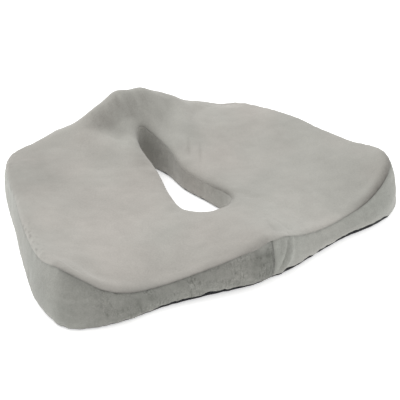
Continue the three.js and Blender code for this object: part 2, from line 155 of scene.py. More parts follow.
def thin_plate(pts):
    pts = np.array(pts, float)
    n = len(pts)

    def k(r2):
        return np.where(r2 > 1e-9, 0.5 * r2 * np.log(np.maximum(r2, 1e-12)), 0.0)

    d2 = ((pts[:, None, :2] - pts[None, :, :2]) ** 2).sum(-1) / 1e4
    A = np.zeros((n + 3, n + 3))
    A[:n, :n] = k(d2) + np.eye(n) * 2e-4
    Q = np.c_[np.ones(n), pts[:, :2] / 100]
    A[:n, n:] = Q
    A[n:, :n] = Q.T
    w = np.linalg.solve(A, np.r_[pts[:, 2], 0, 0, 0])

    def z(x, y):
        sh = np.shape(x)
        x, y = np.ravel(x), np.ravel(y)
        r2 = ((x[:, None] - pts[:, 0]) ** 2 + (y[:, None] - pts[:, 1]) ** 2) / 1e4
        return (
            k(r2) @ w[:n] + w[n] + w[n + 1] * x / 100 + w[n + 2] * y / 100
        ).reshape(sh)

    return z


stations = []
f40 = np.arange(40) / 40
q, nn = outer_at(f40), ring_normals(outer_at, f40)
for a, b in zip(q, nn):
    off = a[3] + EDGE_R
    stations.append([a[0] - b[0] * off, a[1] - b[1] * off, a[2] + 4.5])
f20 = np.arange(20) / 20
q, nn = slot_at(f20), ring_normals(slot_at, f20, 0.008)
for a, b in zip(q, nn):
    rise = 8 + 12 * float(np.clip((a[1] - 97) / 14, 0, 1))
    stations.append([a[0] + b[0] * SLOT_R, a[1] + b[1] * SLOT_R, a[2] + rise])
for r in SEAT:
    stations.append(r)
    if abs(r[0]) > 1e-6:
        stations.append([-r[0], r[1], r[2]])
def blur(Z, sig):
    k = np.arange(-int(3.5 * sig) - 1, int(3.5 * sig) + 2)
    w = np.exp(-0.5 * (k / sig) ** 2)
    w /= w.sum()
    for ax in (0, 1):
        P = np.pad(Z, [(len(k) // 2, len(k) // 2) if a == ax else (0, 0) for a in (0, 1)], "edge")
        Z = sum(wi * np.take(P, range(i, i + Z.shape[ax]), ax) for i, wi in enumerate(w))
    return Z


def trim(x, y):
    """Small listed changes of height: the crest's shoulders and the rear right corner."""
    g = lambda cx, cy, w, h: h * np.exp(-(((x - cx) / w) ** 2 + ((y - cy) / (w * 1.3)) ** 2))
    return (
        g(66, 150, 19, 4.0)
        + g(94, 158, 17, 2.2)
        + g(150, 158, 21, -5.2)
        + g(-20, 144, 17, 3.6)
        + g(-96, 160, 20, 4.6)
        + g(212, -104, 22, 2.2)
        + g(196, 40, 40, 2.4)
        + g(-176, 118, 26, 2.2)
        + 3.6 * np.exp(-(((np.abs(x) - 28) / 24) ** 2 + ((y - 74) / 30) ** 2))
        + g(-60, 94, 16, 4.6)
        + g(60, 94, 16, 4.6)
        + g(-52, 122, 10, -3.6)
        + g(52, 122, 10, -3.6)
        + 0.8
    )


CELL = 1.5
GX0, GY0 = -252.0, -201.0
_gx = GX0 + CELL * np.arange(337)
_gy = GY0 + CELL * np.arange(269)
HEIGHT = blur(thin_plate(stations)(*np.meshgrid(_gx, _gy, indexing="ij")), 4.6 / CELL)
HEIGHT += trim(*np.meshgrid(_gx, _gy, indexing="ij"))


def seat_z(x, y):
    u = np.clip((np.asarray(x) - GX0) / CELL, 0, 335.999)
    v = np.clip((np.asarray(y) - GY0) / CELL, 0, 267.999)
    i, j = u.astype(int), v.astype(int)
    a, b = u - i, v - j
    H = HEIGHT
    return (H[i, j] * (1 - a) + H[i + 1, j] * a) * (1 - b) + (H[i, j + 1] * (1 - a) + H[i + 1, j + 1] * a) * b



# fractions round the ring: even, and closer at the two kinds of vertical seam
NU_EVEN = 460
fr = list(np.arange(NU_EVEN) / NU_EVEN)
even = np.linspace(0.3, 0.5, 4001)
pt = outer_at(even)
F_REAR = float(even[np.argmax((pt[:, 0] < REAR_HALF) & (pt[:, 1] > 100))])
F_FRONT = 4.0 / OUTER_LEN  # the front seam sits a little right of the middle
for c in (F_FRONT, F_REAR, 1 - F_REAR):
    for mm in (0, 0.5, 1.0, 1.6, 2.3):
        fr += [(c + mm / OUTER_LEN) % 1, (c - mm / OUTER_LEN) % 1]
fr = np.array(sorted(set(round(x, 7) for x in fr)))
NU = len(fr)


def index_of(f):
    return int(np.argmin(np.abs(fr - f)))


U_F, U_R0, U_R1 = index_of(F_FRONT), index_of(F_REAR), index_of(1 - F_REAR)
O, ON = outer_at(fr), ring_normals(outer_at, fr)
O[:, 1] = np.minimum(O[:, 1], REAR_Y)
S, SN = slot_at(fr), ring_normals(slot_at, fr, 0.008)
rear = np.clip((F_REAR + 0.5 / OUTER_LEN * 0 + 0.02 - np.minimum(fr, 1 - fr)) / 0.02, 0, 1)
rear = 1 - rear
rear = rear * rear * (3 - 2 * rear)  # 1 on the flat rear wall, 0 on the sides
flat_wall = (np.minimum(fr, 1 - fr) >= F_REAR - 1e-9)
O[flat_wall, 1] = REAR_Y
ON[flat_wall] = [0, 1]


def round_ring(sig):
    """Matrix that smooths ring values over sig mm of arc, whatever the spacing."""
    a = fr * OUTER_LEN
    d = np.abs(a[:, None] - a[None, :])
    d = np.minimum(d, OUTER_LEN - d)
    gap = np.diff(np.r_[a[-1] - OUTER_LEN, a, a[0] + OUTER_LEN])
    w = np.exp(-0.5 * (d / sig) ** 2) * (gap[1:] + gap[:-1])[None, :]
    return w / w.sum(1, keepdims=True)


ON = round_ring(9.0) @ ON
ON /= np.linalg.norm(ON, axis=1, keepdims=True)
O[:, 2] += trim(O[:, 0], O[:, 1] - 6)
pull = 3.2 * np.exp(-(((O[:, 0] - 155) / 20) ** 2 + ((O[:, 1] - 163) / 22) ** 2))
pull += 1.4 * np.exp(-(((O[:, 0] + 198) / 24) ** 2 + ((O[:, 1] - 48) / 28) ** 2))
pull -= 1.2 * np.exp(-(((O[:, 0] - 220) / 20) ** 2 + ((O[:, 1] + 84) / 26) ** 2))
O[:, :2] -= ON * pull[:, None]
S[:, 2] += 2.6 * np.clip((-S[:, 1] - 5) / 45, 0, 1) + 3.8 * np.exp(-(((S[:, 1] - 70) / 32) ** 2))
_fz = np.clip((-O[:, 1] - 78) / 60, 0, 1) * np.clip(np.abs(O[:, 0]) / 30, 0, 1) * np.clip((212 - O[:, 0]) / 45, 0, 1)
_fz = _fz * _fz * (3 - 2 * _fz)
O[:, 2] += _fz * (3.2 - 3.0 * np.exp(-0.5 * ((O[:, 0] + 155) / 26) ** 2))
_a = np.where(fr > 0.5, fr - 1, fr) * OUTER_LEN
O[:, 2] += 1.4 * np.exp(-(((_a + 241) / 23) ** 2)) - 2.3 * np.exp(-(((_a - 78) / 38) ** 2)) + 2.2 * np.exp(-(((_a - 24) / 12) ** 2))
O[:, 2] -= 1.4 * np.exp(-(((_a + 184) / 14) ** 2)) + 2.8 * np.exp(-(((_a + 17) / 13) ** 2)) * np.clip(-_a / 5, 0, 1)
_s = np.exp(-(((S[:, 1] - 60) / 22) ** 2)) * (S[:, 0] < 0)
S[:, 0] += 2.0 * _s
S[:, 2] += 1.5 * _s
SEAM_H, SEAM_D = O[:, 2], O[:, 3]
SLOT_H = S[:, 2]
arc = fr * OUTER_LEN  # mm from the front seam
arc_signed = np.where(fr > 0.5, arc - OUTER_LEN, arc)

rng = np.random.default_rng(7)


def waves(seed, lo, hi, n=26):
    """Smooth noise in two coordinates, about -1 to 1, with wavelengths lo..hi."""
    r = np.random.default_rng(seed)
    wl = np.exp(r.uniform(np.log(lo), np.log(hi), n))
    th, ph = r.uniform(0, TAU, n), r.uniform(0, TAU, n)
    kx, ky = np.cos(th) * TAU / wl, np.sin(th) * TAU / wl

    def f(x, y):
        v = 0
        for i in range(n):
            v = v + np.sin(kx[i] * x + ky[i] * y + ph[i])
        return v / math.sqrt(n * 0.5) * 0.6

    return f


def ease(t):
    t = np.clip(t, 0, 1)
    return t * t * (3 - 2 * t)


def bump1(x, c, w):
    return np.exp(-0.5 * ((x - c) / w) ** 2)


# --------------------------------------------------------------- surfaces
# The hem runs in shallow waves along the front, so the base shows under it.
hem_wave = waves(3, 26, 70, 12)
front_w = ease((O[:, 1] * -1 - 120) / 25) * np.where(O[:, 0] > 0, ease((212 - O[:, 0]) / 40), ease((150 + O[:, 0]) / 50))
full_w = ease((O[:, 1] * -1 - 120) / 25) * ease((205 - np.abs(O[:, 0])) / 40)
_lift = sum(h * bump1(arc_signed, c, w) for c, w, h in (
    (25, 8, 2.4), (53, 7, 2.8), (79, 7, 2.8), (110, 9, 2.6), (138, 11, 2.6), (162, 12, 3.2), (186, 11, 3.0),
    (-46, 9, 1.8), (-70, 9, 2.4), (-98, 10, 1.8), (-122, 8, 1.6)))
HEM_Z = 1.2 + front_w * (1.6 + _lift + 0.5 * hem_wave(arc_signed, arc_signed * 0) - 1.4 * bump1(arc_signed, -2, 11))
HEM_Z = np.clip(HEM_Z, 1.0, 5.4)
side_w = 1 - rear


def band_point(ui, s, depth=0.0):
    """Point of the side wall at station ui, share s of the way up."""
    ui, s = np.broadcast_arrays(ui, s)
    h, d, zs = SEAM_H[ui], SEAM_D[ui], HEM_Z[ui]
    z = zs + (h - zs) * s
    belly = (
        np.sin(np.pi * np.clip(s, 0, 1) ** 0.75)
        * (1.2 + full_w[ui] * (3.2 - 1.8 * bump1(O[ui, 0], -130, 32) + 1.4 * bump1(O[ui, 0], -35, 18) + 1.4 * bump1(O[ui, 0], 58, 30)) * (1 - 0.4 * s))
        * (1 - rear[ui])
    )
    corner = np.exp(-(((O[ui, 0] - 216) / 26) ** 2 + ((O[ui, 1] + 118) / 34) ** 2))
    belly = belly - corner * (0.9 * np.sin(np.pi * np.clip(s * 1.1 - 0.1, 0, 1)) - 2.6 * np.exp(-(((s - 0.12) / 0.14) ** 2)))
    corner_l = np.exp(-(((O[ui, 0] + 200) / 28) ** 2 + ((O[ui, 1] + 146) / 28) ** 2))
    belly = belly - corner_l * (2.0 * np.sin(np.pi * np.clip(s, 0, 1)) ** 0.5 + 0.4 * np.exp(-(((s - 0.06) / 0.16) ** 2)))
    flank = ease((-O[ui, 0] - 190) / 22) * ease((O[ui, 1] + 158) / 20) * ease((20 - O[ui, 1]) / 110)
    belly = belly + flank * (3.1 - 1.0 * bump1(O[ui, 1], -114, 18)) * np.exp(-(((s - 0.16) / 0.34) ** 2))
    round_in = (1 - rear[ui]) * d * s**3.0 + rear[ui] * d * np.clip(
        (z - 33) / np.maximum(h - 33, 1), 0, 1
    ) ** 1.6
    tuck = 1.3 * np.exp(-s * (h - zs) / 3.0) * (1 - rear[ui])
    off = round_in - belly + tuck + depth
    x = O[ui, 0] - ON[ui, 0] * off
    y = O[ui, 1] - ON[ui, 1] * off
    return np.stack([x, y, z], -1)


ROLL = 3.4 - 1.3 * ease((40 - O[:, 1]) / 90) * (O[:, 0] < 0) - 1.5 * np.exp(-(((O[:, 0] - 190) / 45) ** 2 + ((O[:, 1] + 140) / 40) ** 2))


def outer_edge(dist):
    """Row of the seat surface dist mm inside its outer seam."""
    off = SEAM_D + dist
    x, y = O[:, 0] - ON[:, 0] * off, O[:, 1] - ON[:, 1] * off
    x0, y0 = O[:, 0] - ON[:, 0] * SEAM_D, O[:, 1] - ON[:, 1] * SEAM_D
    drop = seat_z(x0, y0) - SEAM_H
    return np.stack([x, y, seat_z(x, y) - drop * (1 - dist / EDGE_R) ** ROLL], -1)


def slot_edge(dist):
    x, y = S[:, 0] + SN[:, 0] * dist, S[:, 1] + SN[:, 1] * dist
    x0, y0 = S[:, 0], S[:, 1]
    drop = seat_z(x0, y0) - SLOT_H
    k = 1 - math.sqrt(max(0.0, 1 - (1 - dist / SLOT_R) ** 2))
    return np.stack([x, y, seat_z(x, y) - drop * k], -1)


def grid_normals(G, closed=True):
    if closed:
        du = np.roll(G, -1, 0) - np.roll(G, 1, 0)
    else:
        du = np.gradient(G, axis=0)
    dv = np.gradient(G, axis=1)
    n = np.cross(du, dv)
    return n / np.maximum(np.linalg.norm(n, axis=-1, keepdims=True), 1e-9)


rows_outer = [0, 0.45, 0.9, 1.4, 2.0, 2.8, 3.8, 5.0, 6.4, 8.0]
top_rows = [outer_edge(r) for r in rows_outer]
a_end, b_end = outer_edge(EDGE_R), slot_edge(SLOT_R)
for t in np.linspace(0, 1, 84):
    x = a_end[:, 0] + (b_end[:, 0] - a_end[:, 0]) * t
    y = a_end[:, 1] + (b_end[:, 1] - a_end[:, 1]) * t
    top_rows.append(np.stack([x, y, seat_z(x, y)], -1))
for r in [9.6, 8.2, 6.8, 5.4, 4.1, 3.0, 2.0, 1.2, 0.55, 0.0]:
    top_rows.append(slot_edge(r))
TOP = np.stack(top_rows, 1)  # u, v, xyz
UI = np.arange(NU)
s_rows = np.r_[0, np.linspace(0.03, 0.9, 26), 0.93, 0.955, 0.975, 0.99, 1.0]
BAND = np.stack([band_point(UI, np.full(NU, s)) for s in s_rows], 1)
sl_rows = np.r_[0, 0.02, 0.05, np.linspace(0.1, 0.92, 16), 0.96, 0.985, 1.0]


def sleeve_rows():
    out = []
    for s in sl_rows:  # top to foot
        z = SLOT_H + (2.4 - SLOT_H) * s
        out_of = 0.9 * math.sin(math.pi * s) - 0.5 * math.exp(-(1 - s) * 12)
        out.append(
            np.stack(
                [S[:, 0] - SN[:, 0] * out_of, S[:, 1] - SN[:, 1] * out_of, z], -1
            )
        )
    return np.stack(out, 1)


SLEEVE = sleeve_rows()


# ------------------------------------------------------- the cloth's swelling
def closed_ring():
    """Coarse closed body of the whole cushion, for the cloth solver."""
    step = 3
    u = np.arange(0, NU, step)
    foot_o = np.stack([O[:, 0] - ON[:, 0] * 3, O[:, 1] - ON[:, 1] * 3, 0 * O[:, 0]], -1)
    foot_i = np.stack([S[:, 0] + SN[:, 0] * 3, S[:, 1] + SN[:, 1] * 3, 0 * S[:, 0]], -1)
    base = [foot_i + (foot_o - foot_i) * t for t in np.linspace(0, 1, 14)]
    rows = (
        base
        + [BAND[:, k] for k in range(0, BAND.shape[1], 4)]
        + [TOP[:, k] for k in list(range(0, 10, 3)) + list(range(10, 94, 4))]
        + [TOP[:, k] for k in range(95, 104, 3)]
        + [SLEEVE[:, k] for k in range(2, SLEEVE.shape[1], 4)]
    )
    G = np.stack([r[u] for r in rows], 1)
    return G


def mesh_from_grid(name, G, wrap_u=True, wrap_v=False, flip=False):
    nu, nv = G.shape[:2]
    idx = np.arange(nu * nv).reshape(nu, nv)
    iu = idx if wrap_u else idx[:-1]
    ju = np.roll(idx, -1, 0) if wrap_u else idx[1:]
    if wrap_v:
        kv = np.roll(iu, -1, 1), np.roll(ju, -1, 1)
        quads = np.stack([iu, ju, kv[1], kv[0]], -1).reshape(-1, 4)
    else:
        quads = np.stack([iu[:, :-1], ju[:, :-1], ju[:, 1:], iu[:, 1:]], -1).reshape(
            -1, 4
        )
    if flip:
        quads = quads[:, ::-1]
    me = bpy.data.meshes.new(name)
    me.vertices.add(nu * nv)
    me.vertices.foreach_set("co", (G.reshape(-1, 3) * MM).astype(np.float32).ravel())
    me.loops.add(quads.size)
    me.loops.foreach_set("vertex_index", quads.astype(np.int32).ravel())
    me.polygons.add(len(quads))
    me.polygons.foreach_set("loop_start", np.arange(0, quads.size, 4, dtype=np.int32))
    me.polygons.foreach_set("loop_total", np.full(len(quads), 4, np.int32))
    me.update(calc_edges=True)
    me.polygons.foreach_set("use_smooth", np.ones(len(quads), bool))
    ob = bpy.data.objects.new(name, me)
    bpy.context.scene.collection.objects.link(ob)
    return ob


def simulate():
    """Rest points and how far the solver moved each, in mm."""
    ob = mesh_from_grid("sim_body", closed_ring(), True, True)
    bpy.context.view_layer.objects.active = ob
    ob.select_set(True)
    m = ob.modifiers.new("r", "REMESH")
    m.mode = "VOXEL"
    m.voxel_size = 0.005
    dg = bpy.context.evaluated_depsgraph_get()
    me = bpy.data.meshes.new_from_object(ob.evaluated_get(dg))
    ob.modifiers.clear()
    ob.data = me
    n = len(me.vertices)
    co = np.zeros(n * 3, np.float32)
    me.vertices.foreach_get("co", co)
    rest = co.reshape(-1, 3).astype(float).copy()
    # sewn lines and the base hold the cloth
    kd = KDTree(NU * 3)
    hold = np.concatenate([BAND[:, -1], SLEEVE[:, 0], SLEEVE[:, -1]]) * MM
    for i, p in enumerate(hold):
        kd.insert(p, i)
    kd.balance()
    vg = ob.vertex_groups.new(name="hold")
    for i in range(n):
        p = rest[i]
        dist = kd.find(p)[2]
        w = 0.9 * math.exp(-((dist / 0.006) ** 2))
        if p[2] < 0.004:
            w = 1.0
        if p[1] > (REAR_Y - 4) * MM and p[2] < 0.036:
            w = 1.0
        if w > 0.02:
            vg.add([i], w, "REPLACE")
    c = ob.modifiers.new("cloth", "CLOTH")
    st = c.settings
    st.quality = 5
    st.mass = 0.25
    st.tension_stiffness = 18
    st.compression_stiffness = 18
    st.shear_stiffness = 6
    st.bending_stiffness = 0.25
    st.tension_damping = 8
    st.compression_damping = 8
    st.use_pressure = True
    st.uniform_pressure_force = 4.0
    st.shrink_min = -0.022
    st.vertex_group_mass = "hold"
    st.pin_stiffness = 1.0
    st.effector_weights.gravity = 0
    c.point_cache.frame_start = 1
    c.point_cache.frame_end = 20
    sc = bpy.context.scene
    for f in range(1, 21):
        sc.frame_set(f)
    dg = bpy.context.evaluated_depsgraph_get()
    out = bpy.data.meshes.new_from_object(ob.evaluated_get(dg))
    co = np.zeros(n * 3, np.float32)
    out.vertices.foreach_get("co", co)
    moved = co.reshape(-1, 3).astype(float) - rest
    sc.frame_set(1)
    bpy.data.objects.remove(ob)
    return rest / MM, moved / MM


SIM = None
SIM = simulate()


def swelling(G, N, cap=2.4):
    """How far the solver pushed the surface out at each grid point, in mm."""
    if SIM is None:
        return np.zeros(G.shape[:2])
    rest, moved = SIM
    kd = KDTree(len(rest))
    for i, p in enumerate(rest):
        kd.insert(p, i)
    kd.balance()
    P, M = G.reshape(-1, 3), N.reshape(-1, 3)
    out = np.zeros(len(P))
    for i in range(len(P)):
        hit = kd.find_n(P[i], 5)
        w = np.array([1.0 / (h[2] + 0.8) ** 2 for h in hit])
        v = sum(wi * moved[h[1]] for wi, h in zip(w, hit)) / w.sum()
        out[i] = v @ M[i]
    out = np.clip(out, -cap, cap * 2)
    D = cap * np.tanh(out / cap).reshape(G.shape[:2])
    D = round_ring(2.5) @ D
    k = np.arange(-9, 10)
    w = np.exp(-0.5 * (k / 3.6) ** 2)
    w /= w.sum()
    P = np.pad(round_ring(8.0) @ D, [(0, 0), (9, 9)], "edge")
    even = sum(wi * P[:, i : i + D.shape[1]] for i, wi in enumerate(w))
    return even + 0.22 * (D - even)


# ------------------------------------------------------------ fine modelling
def crease(x, y, x0, y0, x1, y1, width, depth, sharp=1.6):
    """A soft fold line from (x0, y0) to (x1, y1), fading at its ends."""
    dx, dy = x1 - x0, y1 - y0
    l2 = dx * dx + dy * dy
    t = ((x - x0) * dx + (y - y0) * dy) / l2
    px, py = x0 + np.clip(t, 0, 1) * dx, y0 + np.clip(t, 0, 1) * dy
    d = np.hypot(x - px, y - py)
    side = (dx * (y - y0) - dy * (x - x0)) / math.sqrt(l2)
    fade = np.maximum(np.sin(np.pi * np.clip(t, 0.0, 1.0)), 0) ** 0.6
    # a valley with a ridge along one side
    return depth * fade * (
        -np.exp(-((d / width) ** sharp)) + 0.55 * np.exp(-(((side - 1.7 * width) / (1.3 * width)) ** 2)) * (d < 6 * width)
    )


NT = grid_normals(TOP)
if NT[:, 40, 2].mean() < 0:
    NT = -NT
NB_ = grid_normals(BAND)
if (NB_[:, 10, :2] * ON).sum(-1).mean() < 0:
    NB_ = -NB_
NS = grid_normals(SLEEVE)
if (NS[:, 8, :2] * SN).sum(-1).mean() > 0:
    NS = -NS

fine = waves(11, 9, 26, 30)
broad = waves(12, 40, 120, 20)
fine2 = waves(13, 7, 18, 30)


SEAM_DEEP = 1.1 - 0.35 * front_w * (O[:, 0] < 0) - 0.8 * ease((O[:, 1] + 128) / 26) * (O[:, 0] < 0) * (1 - rear) - 0.75 * bump1(arc_signed, 48, 42) * (arc_signed > 0) + 0.1 * fine2(arc_signed, arc_signed * 0)
SEAM_DEEP = SEAM_DEEP * (1 - 0.7 * bump1(arc_signed, -12, 18) * (arc_signed < 0))


def dress_top(G, N):
    x, y = G[..., 0], G[..., 1]
    dist = np.zeros(G.shape[:2])
    dist[:] = np.cumsum(
        np.r_[0, np.linalg.norm(np.diff(G, axis=1), axis=-1).mean(0)]
    )[None]
    inner = dist[:, -1:] - dist
    d = swelling(G, N) - (0.9 if SIM is not None else 0) * ease(dist / 25) * ease(inner / 20)
    d = d * ease(dist / 6 + 0.15) * ease(inner / 9 + 0.1)
    d += 0.28 * broad(x, y) * ease(dist / 15) * ease(inner / 15)
    d += 0.10 * fine(x, y) * ease(dist / 5)
    # small gathers where the panel is eased on to the band
    gather = fine2(arc_signed[:, None] * np.ones_like(x), dist * 0.25)
    d += 0.38 * gather * np.exp(-(((dist - 3.5) / 4.5) ** 2))
    # seam groove
    d -= SEAM_DEEP[:, None] * np.exp(-((dist / 1.5) ** 1.4))
    d -= 0.12 * np.exp(-((inner / 1.6) ** 1.4))
    # folds that run up from the notch
    for c in (
        (14, -168, 26, -132, 3.2, 1.0),
        (38, -165, 36, -130, 3.2, 0.9),
        (-8, -171, -30, -146, 2.2, 0.5),
        (34, -171, 62, -152, 1.8, 0.4),
        (37, 22, 60, 62, 2.2, 0.5),
        (31, 40, 50, 74, 1.8, 0.4),
        (45, 12, 66, 46, 2.0, 0.3),
        (-196, -128, -206, -106, 1.6, 0.6),
        (-188, -134, -204, -118, 1.6, 0.5),
        (176, -139, 196, -118, 1.8, 0.45),
        (-26, 92, -48, 112, 2.4, 0.5),
        (22, 98, 44, 118, 2.4, 0.5),
    ):
        d += crease(x, y, *c[:4], c[4], c[5])
    return G + N * d[..., None]


def dress_band(G, N):
    a = (arc_signed - F_FRONT * OUTER_LEN)[:, None] * np.ones(G.shape[:2])
    z = G[..., 2]
    hgt = (SEAM_H - HEM_Z)[:, None]
    up = (z - HEM_Z[:, None]) / hgt
    below = (1 - up) * hgt  # mm under the top seam
    above = up * hgt
    wall = (1 - rear)[:, None]
    d = (swelling(G, N, 1.8) - (0.6 if SIM is not None else 0)) * wall * np.sin(np.pi * np.clip(up, 0, 1)) ** 0.7
    d += 0.30 * broad(a, z * 1.4) * np.sin(np.pi * np.clip(up, 0, 1)) * wall
    d += 0.14 * fine(a, z) * (0.35 + 0.65 * wall)
    d += 0.5 * fine2(a, z * 0.22) * np.exp(-((below / 5.5) ** 2))
    d += 0.55 * fine2(a + 90, z * 0.2) * np.exp(-((above / 5.0) ** 2)) * wall
    d -= SEAM_DEEP[:, None] * np.exp(-((below / 1.5) ** 1.4))
    d -= 0.5 * np.exp(-((above / 1.2) ** 1.4)) * wall
    # the vertical seams: front centre, and each end of the zip panels
    d -= 1.0 * np.exp(-((np.abs(a) / 1.3) ** 1.4))
    d += 0.8 * np.exp(-(((np.abs(a) - 5.5) / 3.6) ** 2)) * np.sin(np.pi * np.clip(up, 0, 1))
    for c in ((F_REAR - F_FRONT) * OUTER_LEN, (-F_REAR - F_FRONT) * OUTER_LEN):
        d -= 0.9 * np.exp(-((np.abs(a - c) / 1.3) ** 1.4))
    # pulls beside the front seam
    for c in (
        (24, 47, 4.5, 6, 2.4, 3.2),
        (13, 47, 6, 26, 1.9, 1.5),
        (33, 42, 24, 12, 2.4, 0.8),
        (-5, 45, -16, 26, 2.4, 0.6),
        (-14, 41, -30, 30, 2.4, 0.4),
    ):
        d += crease(a, z, *c[:4], c[4], c[5])
    return G + N * d[..., None]


def dress_sleeve(G, N):
    a = fr[:, None] * SLOT_LEN * np.ones(G.shape[:2])
    z = G[..., 2]
    d = 0.25 * broad(a * 1.5, z * 1.5) + 0.16 * fine(a, z)
    d += 0.35 * fine2(a, z * 0.25) * np.exp(-(((z - 2.4) / 5) ** 2))
    return G + N * d[..., None]


TOP_D, BAND_D, SLEEVE_D = dress_top(TOP, NT), dress_band(BAND, NB_), dress_sleeve(SLEEVE, NS)
# sewn edges share one line
seam = 0.5 * (TOP_D[:, 0] + BAND_D[:, -1])
TOP_D[:, 0] = seam
BAND_D[:, -1] = seam
seam_s = 0.5 * (TOP_D[:, -1] + SLEEVE_D[:, 0])
TOP_D[:, -1] = seam_s
SLEEVE_D[:, 0] = seam_s


def turned_in(G, first=True, last=True, depth=2.2, towards=None):
    """Adds a turned-in allowance beyond the first and last rows."""
    rows = [G[:, k] for k in range(G.shape[1])]
    if first:
        rows.insert(0, G[:, 0] + towards[0] * depth)
    if last:
        rows.append(G[:, -1] + towards[1] * depth)
    return np.stack(rows, 1)


in_o = np.concatenate([-ON, -0.55 * np.ones((NU, 1))], 1) * 0.8
in_s = np.concatenate([SN, -0.6 * np.ones((NU, 1))], 1) * 0.8
in_up = np.concatenate([-ON, 0.2 * np.ones((NU, 1))], 1)
in_su = np.concatenate([SN, 0.2 * np.ones((NU, 1))], 1)

top = mesh_from_grid("top_panel", turned_in(TOP_D, towards=(in_o, in_s)))
sleeve = mesh_from_grid("slot_sleeve", turned_in(SLEEVE_D, towards=(in_s, in_su)))


def band_piece(name, u0, u1, rows=None, z_lo=None, z_hi=None):
    ids = [u % NU for u in range(u0, u1 + 1)]
    G = BAND_D[ids]
    if z_lo is None and z_hi is None:
        G = np.stack(
            [G[:, 0] + in_up[ids] * 2.2, *[G[:, k] for k in range(G.shape[1])], G[:, -1] + in_o[ids] * 2.2],
            1,
        )
    else:
        rows_out = []
        zs = G[..., 2]
        n = 18
        for k in range(n):
            t = k / (n - 1)
            lo = zs[:, 0] if z_lo is None else np.full(len(G), z_lo)
            hi = zs[:, -1] if z_hi is None else np.full(len(G), z_hi)
            z = lo + (hi - lo) * t
            row = np.empty((len(G), 3))
            for i in range(len(G)):
                order = np.argsort(zs[i])
                for j in (0, 1):
                    row[i, j] = np.interp(z[i], zs[i][order], G[i][order, j])
            row[:, 2] = z
            rows_out.append(row)
        inward = np.array([0, -1.0, 0])
        if z_lo is not None:  # a folded edge
            r0 = rows_out[0]
            rows_out = [
                r0 + inward * 1.7 + [0, 0, 1.5],
                r0 + inward * 1.5 + [0, 0, 0.1],
                r0 + inward * 0.8 + [0, 0, -0.25],
                r0 + inward * 0.2 + [0, 0, -0.05],
            ] + rows_out[1:]
        else:
            rows_out.insert(0, rows_out[0] + in_up[ids] * 2.2)
        if z_hi is not None:
            r1 = rows_out[-1]
            rows_out = rows_out[:-1] + [
                r1 + inward * 0.2 + [0, 0, 0.05],
                r1 + inward * 0.8 + [0, 0, 0.25],
                r1 + inward * 1.5 + [0, 0, -0.1],
                r1 + inward * 1.7 + [0, 0, -1.5],
            ]
        else:
            rows_out.append(rows_out[-1] + in_o[ids] * 2.2)
        G = np.stack(rows_out, 1)
    # vertical edges turn in too
    n0 = np.array([*(-ON[ids[0]]), 0]) * 2.0
    n1 = np.array([*(-ON[ids[-1]]), 0]) * 2.0
    G = np.concatenate([G[:1] + n0, G, G[-1:] + n1], 0)
    return mesh_from_grid(name, G, wrap_u=False)


band_r = band_piece("side_band_right", U_F, U_R0)
band_l = band_piece("side_band_left", U_R1, NU + U_F)
zip_hi = band_piece("zip_panel_upper", U_R0, U_R1, z_lo=25.5)
zip_lo = band_piece("zip_panel_lower", U_R0, U_R1, z_hi=14.5)

def inner_body(name, gap):
    """Closed body gap mm inside the cover, all round."""
    hem_i = np.stack([O[:, 0] - ON[:, 0] * (gap + 3), O[:, 1] - ON[:, 1] * (gap + 3), 0 * O[:, 0] + 1.6 + gap * 0.4], -1)
    slot_i = np.stack([S[:, 0] + SN[:, 0] * (gap + 1.5), S[:, 1] + SN[:, 1] * (gap + 1.5), 0 * S[:, 0] + 1.6 + gap * 0.4], -1)
    rows = [slot_i + (hem_i - slot_i) * t for t in np.linspace(0, 1, 16)]
    g = gap + 4.5 * rear[:, None]
    out3 = np.concatenate([ON, np.zeros((NU, 1))], 1)
    in3 = np.concatenate([SN, np.zeros((NU, 1))], 1)
    for k in range(5, 25, 3):
        rows.append(BAND_D[:, k] - out3 * g)
    for k in range(14, 92, 3):
        rows.append(TOP_D[:, k] - [0, 0, 1.7 * gap])
    for k in range(4, SLEEVE_D.shape[1] - 3, 3):
        rows.append(SLEEVE_D[:, k] + in3 * gap)
    G = np.stack(rows, 1)[::2]
    G[..., 2] = np.maximum(G[..., 2], 1.6 + gap * 0.4)
    G[..., 1] = np.minimum(G[..., 1], REAR_Y - gap - 3.4)
    return mesh_from_grid(name, G, True, True)


liner = inner_body("knit_liner", 2.6)
foam_body = inner_body("foam_block", 5.4)

# base: dark fabric, drawn in under the hem, with grip dots
def base_grid():
    rows = []
    hem = BAND_D[:, 0].copy()
    def out(off, z):
        return np.stack(
            [O[:, 0] - ON[:, 0] * off, O[:, 1] - ON[:, 1] * off, np.zeros(NU) + z], -1
        )
    def inn(off, z):
        return np.stack(
            [S[:, 0] + SN[:, 0] * off, S[:, 1] + SN[:, 1] * off, np.zeros(NU) + z], -1
        )
    off0 = (hem[:, :2] - O[:, :2]) * -ON
    off0 = off0.sum(-1)
    up = hem + np.concatenate([-ON * 1.6, np.zeros((NU, 1))], 1)
    up[:, 2] += 1.0
    rows.append(up)
    h1 = hem.copy()
    h1[:, :2] -= ON * 0.35
    h1[:, 2] -= 0.1
    rows.append(h1)
    rows.append(out(off0 - 0.5 * front_w, HEM_Z * 0.66 + 0.25))
    rows.append(out(off0 - 0.5 * front_w + 0.2, HEM_Z * 0.3 + 0.5))
    rows.append(out(off0 + 0.9, 0.72))
    rows.append(out(off0 + 3.2, 0.62))
    a, b = out(off0 + 5, 0.6), inn(6.0, 0.6)
    for t in np.linspace(0, 1, 26):
        rows.append(a + (b - a) * t)
    rows.append(inn(3.2, 0.66))
    rows.append(inn(1.4, 1.1))
    rows.append(inn(0.6, 2.0))
    rows.append(inn(1.6, 3.2))
    return np.stack(rows, 1)


base = mesh_from_grid("base_panel", base_grid(), flip=True)


